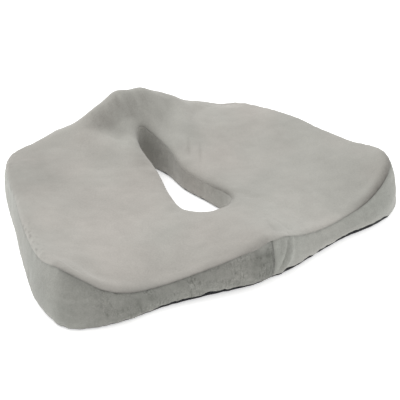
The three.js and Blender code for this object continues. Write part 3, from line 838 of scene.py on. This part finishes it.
def orient(ob, want):
    """Flips the mesh if its faces look the wrong way at most points."""
    me = ob.data
    n = len(me.polygons)
    c = np.zeros(n * 3, np.float32)
    me.polygons.foreach_get("center", c)
    nr = np.zeros(n * 3, np.float32)
    me.polygons.foreach_get("normal", nr)
    c, nr = c.reshape(-1, 3), nr.reshape(-1, 3)
    if (want(c) * nr).sum(-1).mean() < 0:
        me.flip_normals()


orient(top, lambda c: np.tile([0, 0, 1.0], (len(c), 1)))
orient(base, lambda c: np.tile([0, 0, -1.0], (len(c), 1)))
for ob in (band_r, band_l):
    orient(ob, lambda c: np.c_[c[:, :2] / np.linalg.norm(c[:, :2], axis=1, keepdims=True), 0 * c[:, 0]])
for ob in (zip_hi, zip_lo):
    orient(ob, lambda c: np.tile([0, 1.0, 0], (len(c), 1)))
orient(sleeve, lambda c: np.c_[-np.sign(c[:, 0]), 0 * c[:, 0], 0 * c[:, 0]])


def inside(poly, x, y):
    r = np.zeros(len(x), bool)
    n = len(poly)
    for i in range(n):
        x0, y0 = poly[i]
        x1, y1 = poly[(i + 1) % n]
        c = ((y0 > y) != (y1 > y)) & (x < (x1 - x0) * (y - y0) / (y1 - y0 + 1e-12) + x0)
        r ^= c
    return r


def join_copies(name, verts, faces, places, mats=None):
    """One mesh of a small shape copied to each 4x4 place."""
    V, F = np.array(verts, float), []
    allv = []
    for k, m in enumerate(places):
        m = np.array(m)
        allv.append(V @ m[:3, :3].T + m[:3, 3])
        F += [[i + k * len(V) for i in f] for f in faces]
    me = bpy.data.meshes.new(name)
    me.from_pydata((np.concatenate(allv) * MM).tolist(), [], F)
    me.update()
    me.polygons.foreach_set("use_smooth", np.ones(len(me.polygons), bool))
    ob = bpy.data.objects.new(name, me)
    bpy.context.scene.collection.objects.link(ob)
    return ob


def dome():
    v, f = [], []
    rings = [(2.0, 0.66), (1.85, 0.35), (1.4, 0.1), (0.7, 0.0)]
    n = 8
    for r, z in rings:
        for k in range(n):
            v.append((r * math.cos(TAU * k / n), r * math.sin(TAU * k / n), z))
    v.append((0, 0, -0.0))
    for j in range(3):
        for k in range(n):
            a, b = j * n + k, j * n + (k + 1) % n
            f.append((a, a + n, b + n, b))
    for k in range(n):
        f.append((3 * n + k, 4 * n, 3 * n + (k + 1) % n))
    return v, f


ring_o = np.stack([O[::4, 0] - ON[::4, 0] * 9, O[::4, 1] - ON[::4, 1] * 9], -1)
ring_s = np.stack([S[::4, 0] + SN[::4, 0] * 8, S[::4, 1] + SN[::4, 1] * 8], -1)
gx, gy = [], []
P = 12.0
for j, yy in enumerate(np.arange(-176, 176, P * 0.866)):
    for xx in np.arange(-226, 226, P):
        gx.append(xx + (P / 2 if j % 2 else 0))
        gy.append(yy)
gx, gy = np.array(gx), np.array(gy)
ok = inside(ring_o, gx, gy) & ~inside(ring_s, gx, gy)
dv, df = dome()
dots = join_copies(
    "grip_dots", dv, df, [np.array(Matrix.Translation((a, b, 0))) for a, b in zip(gx[ok], gy[ok])]
)

# ----------------------------------------------------------------- the zip
ZIP_Z = 20.0
COIL_X = 110.0


def tube(name, path, r, sides=6, closed=False):
    path = np.array(path, float)
    t = np.gradient(path, axis=0)
    t /= np.linalg.norm(t, axis=1, keepdims=True)
    ref = np.array([1.0, 0, 0])
    rings = []
    for p, d in zip(path, t):
        a = np.cross(d, ref)
        if np.linalg.norm(a) < 0.2:
            a = np.cross(d, [0, 1.0, 0])
        a /= np.linalg.norm(a)
        b = np.cross(d, a)
        rings.append(
            [p + r * (math.cos(TAU * k / sides) * a + math.sin(TAU * k / sides) * b) for k in range(sides)]
        )
    G = np.array(rings)
    return mesh_from_grid(name, G.transpose(1, 0, 2), wrap_u=True)


def coil(name, sign):
    pitch, turns = 2.0, int(2 * (COIL_X - 0.6) / 2.0)
    t = np.arange(turns * 10) / 10.0
    x = -COIL_X + 0.6 + pitch * t + (0.0 if sign > 0 else pitch / 2)
    z = ZIP_Z + sign * (1.85 + 0.95 * np.cos(TAU * t))
    y = REAR_Y - 0.85 + 0.42 * np.sin(TAU * t)
    keep = x < COIL_X - 0.5
    return tube(name, np.stack([x, y, z], -1)[keep], 0.33, 6)


coil_hi, coil_lo = coil("zip_teeth_upper", 1), coil("zip_teeth_lower", -1)


def capsule(length, r):
    v, f = [], []
    n = 6
    xs = [(-0.5, 0.25), (-0.42, 0.8), (-0.2, 1.0), (0.2, 1.0), (0.42, 0.8), (0.5, 0.25)]
    for sx, sr in xs:
        for k in range(n):
            v.append((sx * length, r * sr * math.cos(TAU * k / n), r * sr * math.sin(TAU * k / n)))
    for j in range(len(xs) - 1):
        for k in range(n):
            a, b = j * n + k, j * n + (k + 1) % n
            f.append((a, b, b + n, a + n))
    f.append(tuple(range(n))[::-1])
    f.append(tuple(range((len(xs) - 1) * n, len(xs) * n)))
    return v, f


places = []
for zz in (11.6, 28.4):
    for xx in np.arange(-REAR_HALF + 4, REAR_HALF - 3, 4.0):
        places.append(np.array(Matrix.Translation((xx, REAR_Y + 0.24, zz))))
for xx in np.arange(104.5, 124, 3.4):
    places.append(np.array(Matrix.Translation((xx, REAR_Y + 1.15, 38.4))))
cv, cf = capsule(3.0, 0.24)
stitches = join_copies("zip_stitching", cv, cf, places)


def metal_piece(name, node, bevel):
    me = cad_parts[node].data.copy()
    me.name = name
    bm = bmesh.new()
    bm.from_mesh(me)
    bmesh.ops.remove_doubles(bm, verts=bm.verts, dist=1e-5)
    bmesh.ops.dissolve_limit(
        bm, angle_limit=math.radians(2), verts=bm.verts, edges=bm.edges
    )
    bm.to_mesh(me)
    bm.free()
    ob = bpy.data.objects.new(name, me)
    bpy.context.scene.collection.objects.link(ob)
    b = ob.modifiers.new("bevel", "BEVEL")
    b.width = bevel * MM
    b.segments = 2
    b.limit_method = "ANGLE"
    b.angle_limit = math.radians(35)
    b.harden_normals = False
    for p in me.polygons:
        p.use_smooth = False
    return ob


slider = metal_piece("slider_body", "zip_slider", 0.22)
tab = metal_piece("pull_tab_body", "zip_pull_tab", 0.2)


def label():
    x = np.linspace(102.2, 125.2, 25)
    rows = []
    for t in np.linspace(0, 1, 17):
        z = 40 - 12 * t
        y = REAR_Y + 0.7 + 0.9 * t**2 + 0.18 * np.sin(x * 0.5 + 2 * t)
        rows.append(np.stack([x, y, np.full_like(x, z)], -1))
    for t in np.linspace(1, 0, 17):
        z = 40 - 12 * t + 0.15
        y = REAR_Y + 0.25 + 0.75 * t**2 + 0.18 * np.sin(x * 0.5 + 2 * t)
        rows.append(np.stack([x, y, np.full_like(x, z)], -1))
    return mesh_from_grid("satin_label", np.stack(rows, 1), wrap_u=False, wrap_v=True)


tag = label()

# ---------------------------------------------------------------- materials
def paint(ob, fn):
    """Stores fn(x, y, z) in mm as vertex colours: darkness (the pile's nap together with painted light and painted
    shade), brushed streaks, and painted shade in seams and crevices.
    """
    me = ob.data
    n = len(me.vertices)
    co = np.zeros(n * 3, np.float32)
    me.vertices.foreach_get("co", co)
    c = co.reshape(-1, 3) / MM
    r, g, b = fn(c[:, 0], c[:, 1], c[:, 2])
    col = np.ones((n, 4), np.float32)
    col[:, 0], col[:, 1], col[:, 2] = np.clip(r, 0, 1), np.clip(g, 0, 1), np.clip(b, 0, 1)
    at = me.attributes.new("nap_and_painted_shade", "FLOAT_COLOR", "POINT")
    at.data.foreach_set("color", col.ravel())


class Nodes:
    def __init__(self, name):
        self.m = bpy.data.materials.new(name)
        self.m.use_nodes = True
        self.t = self.m.node_tree
        self.bsdf = self.t.nodes["Principled BSDF"]
        self.co = self.t.nodes.new("ShaderNodeTexCoord")

    def link(self, a, b):
        self.t.links.new(a, b)

    def noise(self, scale, detail=3, rough=0.55, stretch=None, shift=0.0):
        n = self.t.nodes.new("ShaderNodeTexNoise")
        n.inputs["Scale"].default_value = scale
        n.inputs["Detail"].default_value = detail
        n.inputs["Roughness"].default_value = rough
        src = self.co.outputs["Object"]
        if stretch or shift:
            mp = self.t.nodes.new("ShaderNodeMapping")
            mp.inputs["Scale"].default_value = stretch or (1, 1, 1)
            mp.inputs["Location"].default_value = (shift, shift * 0.7, shift * 0.3)
            self.link(src, mp.inputs["Vector"])
            src = mp.outputs["Vector"]
        self.link(src, n.inputs["Vector"])
        return n.outputs["Fac"]

    def math(self, op, a, b=0.0, c=0.0, clamp=False):
        n = self.t.nodes.new("ShaderNodeMath")
        n.operation = op
        n.use_clamp = clamp
        for s, v in zip(n.inputs, (a, b, c)):
            if isinstance(v, (int, float)):
                s.default_value = v
            else:
                self.link(v, s)
        return n.outputs[0]

    def remap(self, v, a, b, c, d):
        n = self.t.nodes.new("ShaderNodeMapRange")
        n.clamp = True
        n.inputs["From Min"].default_value = a
        n.inputs["From Max"].default_value = b
        n.inputs["To Min"].default_value = c
        n.inputs["To Max"].default_value = d
        self.link(v, n.inputs["Value"])
        return n.outputs["Result"]

    def mix(self, f, a, b, kind="MIX"):
        n = self.t.nodes.new("ShaderNodeMix")
        n.data_type = "RGBA"
        n.blend_type = kind
        n.clamp_factor = True
        for s, v in ((n.inputs[0], f), (n.inputs[6], a), (n.inputs[7], b)):
            if isinstance(v, (int, float)):
                s.default_value = v
            elif isinstance(v, tuple):
                s.default_value = (*v, 1)
            else:
                self.link(v, s)
        return n.outputs[2]

    def grey(self, v):
        n = self.t.nodes.new("ShaderNodeCombineColor")
        for s in n.inputs:
            self.link(v, s)
        return n.outputs[0]

    def split(self, c):
        n = self.t.nodes.new("ShaderNodeSeparateColor")
        self.link(c, n.inputs[0])
        return n.outputs

    def attr(self, name):
        n = self.t.nodes.new("ShaderNodeAttribute")
        n.attribute_name = name
        return n.outputs["Color"]

    def bump(self, h, distance, strength=1.0, under=None):
        n = self.t.nodes.new("ShaderNodeBump")
        n.inputs["Strength"].default_value = strength
        n.inputs["Distance"].default_value = distance
        self.link(h, n.inputs["Height"])
        if under is not None:
            self.link(under, n.inputs["Normal"])
        return n.outputs["Normal"]

    def wave(self, scale, direction="X", kind="BANDS", distort=0.0):
        n = self.t.nodes.new("ShaderNodeTexWave")
        n.wave_type = kind
        n.bands_direction = direction
        n.inputs["Scale"].default_value = scale
        n.inputs["Distortion"].default_value = distort
        n.inputs["Detail"].default_value = 1
        self.link(self.co.outputs["Object"], n.inputs["Vector"])
        return n.outputs["Fac"]

    def done(self, color=None, rough=None, normal=None, **sockets):
        b = self.bsdf
        if color is not None:
            if isinstance(color, tuple):
                b.inputs["Base Color"].default_value = (*color, 1)
            else:
                self.link(color, b.inputs["Base Color"])
        if rough is not None:
            if isinstance(rough, (int, float)):
                b.inputs["Roughness"].default_value = rough
            else:
                self.link(rough, b.inputs["Roughness"])
        if normal is not None:
            self.link(normal, b.inputs["Normal"])
        for k, v in sockets.items():
            b.inputs[k.replace("_", " ")].default_value = v
        return self.m


def lin(r, g, b):
    f = lambda c: c / 12.92 if c <= 0.04045 else ((c + 0.055) / 1.055) ** 2.4
    return tuple(f(x / 255) for x in (r, g, b))


# plush colours; the side colours are a darker copy of the same plush, painted shade on the walls, and the dark
# colours are what the nap and the painted shade darken to
WARM, COOL = lin(172, 168, 162), lin(167, 166, 160)
WARM_SIDE_SHADED, COOL_SIDE_SHADED = lin(161, 160, 154), lin(156, 157, 151)
NAP_AND_SHADE_DARK, NAP_AND_SHADE_DARK_SIDE = lin(104, 101, 96), lin(96, 97, 91)


def plush(name, warm=WARM, cool=COOL, dark_col=NAP_AND_SHADE_DARK, tuft=0.03, fibre=0.07, soft=0.03, relief=1.0, grain=95, calm=1.0):
    n = Nodes(name)
    base = n.mix(n.remap(n.noise(9, 2, 0.5), 0.35, 0.65, 0, 1), warm, cool)
    big = n.noise(26, 3, 0.55, shift=3.1)
    mid = n.noise(grain, 4, 0.6, shift=7.7)
    fib = n.noise(620, 3, 0.65, shift=1.3)
    k = n.remap(big, 0.3, 0.7, 1 - soft, 1 + soft)
    # vertex colours: darkness from the nap with painted light and painted shade, brushed streaks, and painted
    # crevice shade
    nap_and_painted_shade = n.split(n.attr("nap_and_painted_shade"))
    speck = n.math("ADD", n.remap(mid, 0.3, 0.7, -tuft, tuft), n.remap(fib, 0.3, 0.7, -fibre, fibre))
    speck = n.math("MULTIPLY", speck, n.remap(nap_and_painted_shade[1], 0.1, 0.8, calm, 1.0))
    k = n.math("ADD", k, speck)
    # brushed tufts: short strokes that stand up the pile
    st = n.noise(430, 1, 0.5, stretch=(1.0, 1.0, 0.22), shift=5.2)
    st = n.remap(st, 0.48, 0.72, 0, 1)
    patch = n.remap(n.noise(64, 3, 0.6, shift=9.4), 0.36, 0.6, 0.25, 1)
    st = n.math("MULTIPLY", n.math("MULTIPLY", st, patch), nap_and_painted_shade[1])
    dark = n.math("ADD", n.math("MULTIPLY", nap_and_painted_shade[0], n.remap(mid, 0.3, 0.7, 0.75, 1.25)), n.math("MULTIPLY", st, 0.46), clamp=True)
    col = n.mix(dark, base, dark_col)
    col = n.mix(1.0, col, n.grey(k), "MULTIPLY")
    # painted shade in seams and crevices darkens the colour
    painted_crevice_shade = n.math("SUBTRACT", 1.0, n.math("MULTIPLY", nap_and_painted_shade[2], 0.55))
    col = n.mix(1.0, col, n.grey(painted_crevice_shade), "MULTIPLY")
    height = n.math("ADD", n.math("MULTIPLY", fib, 0.7), n.math("MULTIPLY", mid, 0.6))
    height = n.math("SUBTRACT", height, n.math("MULTIPLY", st, 0.8))
    nor = n.bump(height, 0.0007 * relief, 0.55)
    return n.done(
        col,
        n.remap(fib, 0.3, 0.7, 0.82, 1.0),
        nor,
        Sheen_Weight=0.32,
        Sheen_Roughness=0.45,
        Sheen_Tint=(0.95, 0.94, 0.92, 1),
        Specular_IOR_Level=0.15,
    )


def grip_fabric():
    n = Nodes("grip_fabric")
    wx, wy = n.wave(260, "X", distort=0.6), n.wave(260, "Y", distort=0.6)
    w = n.math("MULTIPLY", wx, wy)
    mott = n.noise(40, 3)
    col = n.mix(w, lin(34, 35, 37), lin(58, 59, 62))
    col = n.mix(1.0, col, n.grey(n.remap(mott, 0.3, 0.7, 0.85, 1.15)), "MULTIPLY")
    nor = n.bump(w, 0.0003, 0.6)
    return n.done(col, n.remap(w, 0, 1, 0.95, 0.8), nor, Sheen_Weight=0.1, Specular_IOR_Level=0.2)


def rubber_dots():
    n = Nodes("grip_rubber")
    v = n.noise(300, 3)
    col = n.mix(v, lin(74, 75, 77), lin(96, 97, 99))
    return n.done(col, n.remap(v, 0.3, 0.7, 0.4, 0.6), n.bump(v, 0.0001, 0.4))


def woven(name, a, b, scale):
    n = Nodes(name)
    wx, wy = n.wave(scale, "X", distort=0.3), n.wave(scale * 0.8, "Z", distort=0.3)
    w = n.math("MULTIPLY", wx, wy)
    v = n.noise(60, 3)
    col = n.mix(w, a, b)
    col = n.mix(1.0, col, n.grey(n.remap(v, 0.3, 0.7, 0.9, 1.1)), "MULTIPLY")
    return n.done(col, n.remap(w, 0, 1, 0.9, 0.7), n.bump(w, 0.00015, 0.6), Sheen_Weight=0.15)


def nylon(name, a, b):
    n = Nodes(name)
    v = n.noise(180, 3)
    return n.done(n.mix(v, a, b), n.remap(v, 0.3, 0.7, 0.38, 0.6), n.bump(v, 0.00005, 0.4))


def metal(name):
    n = Nodes(name)
    v = n.noise(220, 4, 0.6, stretch=(0.25, 1, 1))
    wear = n.noise(900, 2)
    col = n.mix(v, lin(112, 113, 116), lin(150, 151, 153))
    r = n.math("ADD", n.remap(v, 0.3, 0.7, 0.26, 0.42), n.math("MULTIPLY", wear, 0.08))
    return n.done(col, r, n.bump(v, 0.00004, 0.5), Metallic=1.0)


def foam():
    n = Nodes("memory_foam")
    v = n.t.nodes.new("ShaderNodeTexVoronoi")
    v.inputs["Scale"].default_value = 420
    n.link(n.co.outputs["Object"], v.inputs["Vector"])
    d = v.outputs["Distance"]
    col = n.mix(n.remap(d, 0.0, 0.6, 0, 1), lin(214, 196, 150), lin(243, 232, 205))
    return n.done(col, n.remap(d, 0, 0.6, 1.0, 0.85), n.bump(d, 0.0006, 0.6), Subsurface_Weight=0.05)


def knit():
    n = Nodes("jersey_knit")
    a, b = n.wave(330, "X", distort=1.2), n.wave(420, "Y", distort=1.2)
    w = n.math("MULTIPLY", a, b)
    return n.done(n.mix(w, lin(214, 211, 204), lin(240, 238, 232)), n.remap(w, 0, 1, 1.0, 0.85), n.bump(w, 0.0003, 0.6), Sheen_Weight=0.2)


M_TOP, M_SIDE_SHADED, M_SLEEVE = (
    plush("plush_top"),
    # the walls' plush: a darker copy of the top's, painted shade
    plush("plush_side", WARM_SIDE_SHADED, COOL_SIDE_SHADED, NAP_AND_SHADE_DARK_SIDE, 0.13, 0.19, 0.04, 1.6, 170, 0.45),
    plush("plush_sleeve", tuft=0.05, fibre=0.12),
)
M_GRIP, M_DOT = grip_fabric(), rubber_dots()
M_TAPE = woven("zip_tape_weave", lin(92, 91, 88), lin(140, 138, 133), 420)
M_LABEL = woven("label_satin_weave", lin(222, 221, 216), lin(244, 243, 240), 700)
M_THREAD = woven("thread", lin(140, 138, 133), lin(176, 173, 168), 900)
M_NYLON = nylon("zip_nylon", lin(118, 117, 113), lin(150, 148, 144))
M_METAL, M_FOAM, M_KNIT = metal("zip_metal"), foam(), knit()

nz1, nz2 = waves(21, 14, 50, 24), waves(22, 50, 160, 18)
nz3 = waves(23, 5, 14, 30)
# mm along the surface from the outer seam, per vertex of the top panel
_d = np.cumsum(np.c_[np.zeros(NU), np.linalg.norm(np.diff(TOP_D, axis=1), axis=-1)], 1)
TOP_DIST = np.concatenate([_d[:, :1] * 0, _d, _d[:, -1:]], 1).ravel()
TOP_INNER = np.concatenate([_d[:, -1:], _d[:, -1:] - _d, _d[:, :1] * 0], 1).ravel()


# darkness of the top panel: the pile's nap together with painted light and painted shade
def top_nap_and_shade(x, y, z):
    edge = 114.6 + np.maximum(0, -40 - x) * 0.55 + np.maximum(0, x - 8) * 0.5 + 1.5 * nz1(x, 0 * x)
    slope = ease((y - edge + 3.0) / 7.0) * ease((150 - y) / 20)
    across = ease((x + 92) / 44) * ease((66 - x) / 62)
    hump = slope * across
    low = ease((136 - y) / 16) * ease((14 - x) / 16)
    d = hump * (0.02 + 0.06 * ease((-x - 12) / 30) + 0.12 * low + 0.10 * nz1(x * 1.8, y * 0.7) + 0.03 * nz3(x, y * 0.45))
    d += 0.14 * hump * bump1(x, -16, 12) * bump1(y, 136, 10)
    d += 0.11 + 0.03 * nz1(x, y) + 0.03 * nz2(x, y)
    # paler and darker patches: partly the pile laid forward or brushed back, partly painted light (where the front
    # edge rolls over, at the foot of the crest) and painted shade (beside the slot's rims)
    nap_and_shade_patch = lambda cx, cy, wx, wy, h: h * np.exp(-(((x - cx) / wx) ** 2) - ((y - cy) / wy) ** 2)
    d += nap_and_shade_patch(-145, -90, 62, 55, -0.08) + nap_and_shade_patch(78, -138, 58, 42, -0.16) + nap_and_shade_patch(50, -166, 44, 14, -0.10) + nap_and_shade_patch(-48, 104, 34, 14, -0.12) + nap_and_shade_patch(58, 118, 34, 20, -0.09)
    d += nap_and_shade_patch(20, -50, 30, 42, 0.12) + nap_and_shade_patch(-28, 44, 8, 24, 0.14) + nap_and_shade_patch(-30, 98, 18, 18, -0.16) + nap_and_shade_patch(-215, 60, 30, 60, 0.04) + nap_and_shade_patch(-34, 128, 20, 16, -0.05)
    # painted shade on the edge that rolls over above the right front corner
    roll = np.exp(-((TOP_DIST / 8.5) ** 2)) * ease((x - 118) / 45) * ease((-y - 95) / 25)
    d += 0.68 * roll
    # painted shade along the top's front left edge
    d += 0.10 * np.exp(-((TOP_DIST / 12) ** 2)) * ease((-y - 120) / 30) * (x < 0) * ease((200 + x) / 60)
    # small rubbed marks along the left edge
    # shade inside the folds by the notch
    for q in ((14, -168, 26, -132, 3.4), (38, -165, 36, -130, 3.4), (31, 40, 50, 74, 2.2), (37, 22, 60, 62, 2.2)):
        t = np.clip(((x - q[0]) * (q[2] - q[0]) + (y - q[1]) * (q[3] - q[1])) / ((q[2] - q[0]) ** 2 + (q[3] - q[1]) ** 2), 0, 1)
        d += 0.13 * np.maximum(np.sin(np.pi * t), 0) ** 0.5 * np.exp(-((np.hypot(x - q[0] - t * (q[2] - q[0]), y - q[1] - t * (q[3] - q[1])) / q[4]) ** 2))
    left = np.exp(-(((TOP_DIST - 3) / 8) ** 2)) * ease((-x - 190) / 14) * ease((-y - 0) / 14) * ease((y + 104) / 16)
    d += 0.34 * left * ease((nz3(x * 1.3, y * 1.3) - 0.35) / 0.5)
    # painted shade over the left rear of the seat
    d += 0.22 * ease((-x - 95) / 50) * ease((y - 10) / 70)
    st = 0.10 * ease(nz2(x, y)) + 0.16 * hump
    front = ease((-y - 100) / 30)
    # painted shade in the seam groove, on the rolled edge, along the front seam and round the slot's rear rim
    painted_crevice_shade = np.exp(-((TOP_DIST / 1.4) ** 2)) * (0.3 - 0.24 * ease((y + 128) / 26) * (x < 0) + 0.08 * front * ease((-x + 3) / 6) + 0.3 * roll)
    painted_crevice_shade *= 1 - 0.85 * bump1(x, -12, 18) * front * (x < 1)
    # painted shade on the slot's right rim toward its front end
    d += 0.42 * np.exp(-((TOP_INNER / 6.5) ** 2)) * bump1(y, -40, 20) * ease((x - 10) / 10)
    painted_crevice_shade += 0.2 * np.exp(-((TOP_DIST / 5.5) ** 2)) * front * ease((-x + 3) / 6)
    painted_crevice_shade += 0.14 * np.exp(-((TOP_INNER / 4.0) ** 2)) * ease((y - 60) / 40)
    return d, st, painted_crevice_shade


def FRONT_Z(x):
    k = np.where((O[:, 1] < -100) & (O[:, 0] > -200) & (O[:, 0] < 30))[0]
    k = k[np.argsort(O[k, 0])]
    return np.interp(x, O[k, 0], SEAM_H[k])


# darkness of the side band: the pile's nap together with painted light and painted shade
def side_nap_and_shade(x, y, z):
    front = ease((-y - 118) / 22)
    x = np.where(y < -100, x - 4.0, x)
    left = ease((-x + 0.6) / 1.2)
    lump = 0.75 + 0.5 * ease(nz1(x * 1.1, z * 1.6) + 0.5)
    d = 0.25 * front * left * ease((x + 238) / 16)
    # painted shade over the left flank of the band and its front left corner
    d += 0.22 * ease((-x - 186) / 20) * ease((y + 128) / 30)
    d += 0.03 * front * left * bump1(x, -208, 16)
    d += 0.14 * bump1(x, -226, 8) * bump1(y, -112, 20) + 0.11 * ease((-x - 186) / 20) * bump1(y, -55, 26)
    d += 0.13 * bump1(x, -163, 16) * bump1(z, 12, 8) * front
    d += front * left * lump * (0.17 * bump1(x, -152, 34) + 0.13 * bump1(x, -78, 32) + 0.3 * bump1(x, -14, 15))
    d += front * left * 0.06 * nz3(x, z)
    d += 0.05 * front * (1 - left) * bump1(x, 125, 28)
    d += 0.05 * (1 - left) * bump1(x, 9, 9) * front
    d += 0.12 * left * bump1(x, -10, 10) * front
    d += 0.03 * nz1(x + y, z * 2) + 0.02
    # painted shade inside the pulls beside the front seam
    for q in ((24, 47, 4.5, 6, 2.0, 0.18), (13, 47, 6, 26, 1.7, 0.05)):
        t = np.clip(((x - q[0]) * (q[2] - q[0]) + (z - q[1]) * (q[3] - q[1])) / ((q[2] - q[0]) ** 2 + (q[3] - q[1]) ** 2), 0, 1)
        d += front * q[5] * np.maximum(np.sin(np.pi * t), 0) ** 0.5 * np.exp(-((np.hypot(x - q[0] - t * (q[2] - q[0]), z - q[1] - t * (q[3] - q[1])) / q[4]) ** 2))
    # painted light on the band just under the top seam left of the notch, which also eases the streaks and crevice
    # shade there
    painted_light_near_notch = bump1(x, -12, 17) * front * left * np.exp(-((np.maximum(FRONT_Z(x) - z, 0) / 5.5) ** 2))
    d -= 0.34 * painted_light_near_notch
    st = front * left * ease((x + 205) / 30) * ease(nz1(x * 0.8, z * 1.2) * 1.2 + 0.75)
    st = np.maximum(st, 0.12 * front)
    return d, st * (1 - painted_light_near_notch), seam_shade(np.where(y < -100, x + 4.0, x), y, z) * (1 - 0.85 * painted_light_near_notch)


def seam_shade(x, y, z):
    out = np.zeros(len(x))
    for k in range(len(x)):
        p, j, dist = SEAM_TREE.find((x[k], y[k], z[k]))
        w = 0.3 + 0.1 * (1.0 if (y[k] < -100 and x[k] < 5) else 0.0)
        if x[k] < -150:
            w = w + (0.1 - w) * min(max((y[k] + 128) / 26, 0.0), 1.0)
        out[k] = w * (math.exp(-((dist / 1.6) ** 2)) + (0.55 if w > 0.35 else 0.1) * math.exp(-((dist / 6) ** 2)))
        p, j, dist = FRONT_TREE.find((x[k], y[k], z[k]))
        # painted shade along the front seam, with a thin strip of painted light beside it on the right
        out[k] += 0.2 * math.exp(-((dist / 1.2) ** 2)) + (0.25 * math.exp(-((dist / 5) ** 2)) if x[k] < 4 else -0.12 * math.exp(-(((dist - 3) / 2) ** 2)))
    return out


def tree(P):
    t = KDTree(len(P))
    for k, q in enumerate(P):
        t.insert(q, k)
    t.balance()
    return t


SEAM_TREE = tree(BAND_D[:, -1])
FRONT_TREE = tree(BAND_D[U_F])


def sleeve_nap_and_shade(x, y, z):
    # painted shade: the slot's walls darker than the top, more so toward the rear, with painted light at the rear
    # end
    d = 0.24 + 0.06 * ease((y - 30) / 70) + 0.05 * nz1(y, z * 2) + 0.03 * ease((z - 30) / 30) * ease((y - 60) / 30)
    d -= 0.12 * ease((y - 82) / 18)
    # painted shade along the sleeve's foot
    foot = 0.5 * np.exp(-(((z - 2.5) / 2.2) ** 2))
    return d, 0.25 + 0 * x, foot


paint(top, top_nap_and_shade)
for ob in (band_r, band_l, zip_hi, zip_lo):
    paint(ob, side_nap_and_shade)
paint(sleeve, sleeve_nap_and_shade)


def give(ob, *mats):
    ob.data.materials.clear()
    for m in mats:
        ob.data.materials.append(m)


for ob, m in (
    (top, M_TOP),
    (band_r, M_SIDE_SHADED),
    (band_l, M_SIDE_SHADED),
    (zip_hi, M_SIDE_SHADED),
    (zip_lo, M_SIDE_SHADED),
    (sleeve, M_SLEEVE),
    (base, M_GRIP),
    (dots, M_DOT),
    (coil_hi, M_NYLON),
    (coil_lo, M_NYLON),
    (stitches, M_THREAD),
    (slider, M_METAL),
    (tab, M_METAL),
    (tag, M_LABEL),
):
    give(ob, m)


def coat(node, m):
    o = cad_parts[node]
    if not o.material_slots:
        o.data.materials.append(m)
    for s in o.material_slots:
        s.material = m


for node, m in (
    ("zip_tape_upper", M_TAPE),
    ("zip_tape_lower", M_TAPE),
    ("zip_top_stop_upper", M_METAL),
    ("zip_top_stop_lower", M_METAL),
    ("zip_bottom_stop", M_METAL),
):
    coat(node, m)

for ob, nodes, body, slot_name in (
    (top, ["cover_top_panel"], "cushion", "plush_top"),
    (band_r, ["cover_side_band_right"], "cushion", "plush_side"),
    (band_l, ["cover_side_band_left"], "cushion", "plush_side"),
    (zip_hi, ["cover_zip_panel_upper"], "cushion", "plush_side"),
    (zip_lo, ["cover_zip_panel_lower"], "cushion", "plush_side"),
    (sleeve, ["cover_slot_sleeve"], "cushion", "plush_side"),
    (base, ["cover_base_panel"], "cushion", "grip_base"),
    (dots, [], "cushion", "grip_base"),
    (coil_hi, ["zip_coil_upper"], "cushion", "zip_nylon"),
    (coil_lo, ["zip_coil_lower"], "cushion", "zip_nylon"),
    (stitches, [], "cushion", "plush_side"),
    (tag, ["care_label"], "cushion", "label_satin"),
    (slider, ["zip_slider"], "slider", "zip_metal"),
    (tab, ["zip_pull_tab"], "pull_tab", "zip_metal"),
):
    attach(ob, body)
    if nodes:
        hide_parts(*nodes)
for ob, node, sl, m in ((liner, "foam_liner", "knit", M_KNIT), (foam_body, "foam_core", "foam", M_FOAM)):
    give(ob, m)
    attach(ob, "cushion")
    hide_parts(node)

# -------------------------------------------------------- floor, light, camera
fl = bpy.data.meshes.new("floor")
R = 60.0
fl.from_pydata([(-R, -R, 0), (R, -R, 0), (R, R, 0), (-R, R, 0)], [], [(0, 1, 2, 3)])
floor = bpy.data.objects.new("floor", fl)
bpy.context.scene.collection.objects.link(floor)
floor.location.z = -0.0003
fm = bpy.data.materials.new("floor")
fm.use_nodes = True
fm.node_tree.nodes["Principled BSDF"].inputs["Base Color"].default_value = (0.86, 0.86, 0.86, 1)
fm.node_tree.nodes["Principled BSDF"].inputs["Roughness"].default_value = 0.9
fm.node_tree.nodes["Principled BSDF"].inputs["Specular IOR Level"].default_value = 0.1
fm.node_tree.nodes["Principled BSDF"].inputs["Emission Color"].default_value = (1, 1, 1, 1)
fm.node_tree.nodes["Principled BSDF"].inputs["Emission Strength"].default_value = 0.5
floor.data.materials.append(fm)

w = bpy.data.worlds.new("studio")
bpy.context.scene.world = w
w.use_nodes = True
w.node_tree.nodes["Background"].inputs["Color"].default_value = (1, 1, 1, 1)
w.node_tree.nodes["Background"].inputs["Strength"].default_value = 0.72


def area(name, at, power, size, to=(0, 0, 0.03)):
    d = bpy.data.lights.new(name, "AREA")
    d.energy = power
    d.shape = "SQUARE"
    d.size = size
    o = bpy.data.objects.new(name, d)
    bpy.context.scene.collection.objects.link(o)
    o.location = at
    v = Vector(to) - Vector(at)
    o.rotation_euler = v.to_track_quat("-Z", "Y").to_euler()
    return o


area("key", (-0.75, 1.05, 1.85), 27, 1.4)
area("fill", (1.6, -0.6, 1.2), 8.5, 1.2)

az, el = math.radians(-31.648), math.radians(31.425)
back = Vector((math.sin(az) * math.cos(el), -math.cos(az) * math.cos(el), math.sin(el)))
right = Vector((math.cos(az), math.sin(az), 0))
up = back.cross(right)
cam = bpy.data.cameras.new("camera")
cam.sensor_width = 36
cam.lens = 796.1 * 36 / 400
cam.clip_start, cam.clip_end = 0.02, 50
co = bpy.data.objects.new("camera", cam)
bpy.context.scene.collection.objects.link(co)
pos = back * 0.9789 + right * 0.01931 + up * 0.00616 + Vector((0, 0.00095, 0))
m = Matrix.Identity(4)
for k in range(3):
    m[k][0], m[k][1], m[k][2], m[k][3] = right[k], up[k], back[k], pos[k]
co.matrix_world = m
bpy.context.scene.camera = co
vs = bpy.context.scene.view_settings
vs.view_transform = "Standard"
vs.look = "None"
vs.exposure = 0
vs.gamma = 1

bpy.context.view_layer.update()
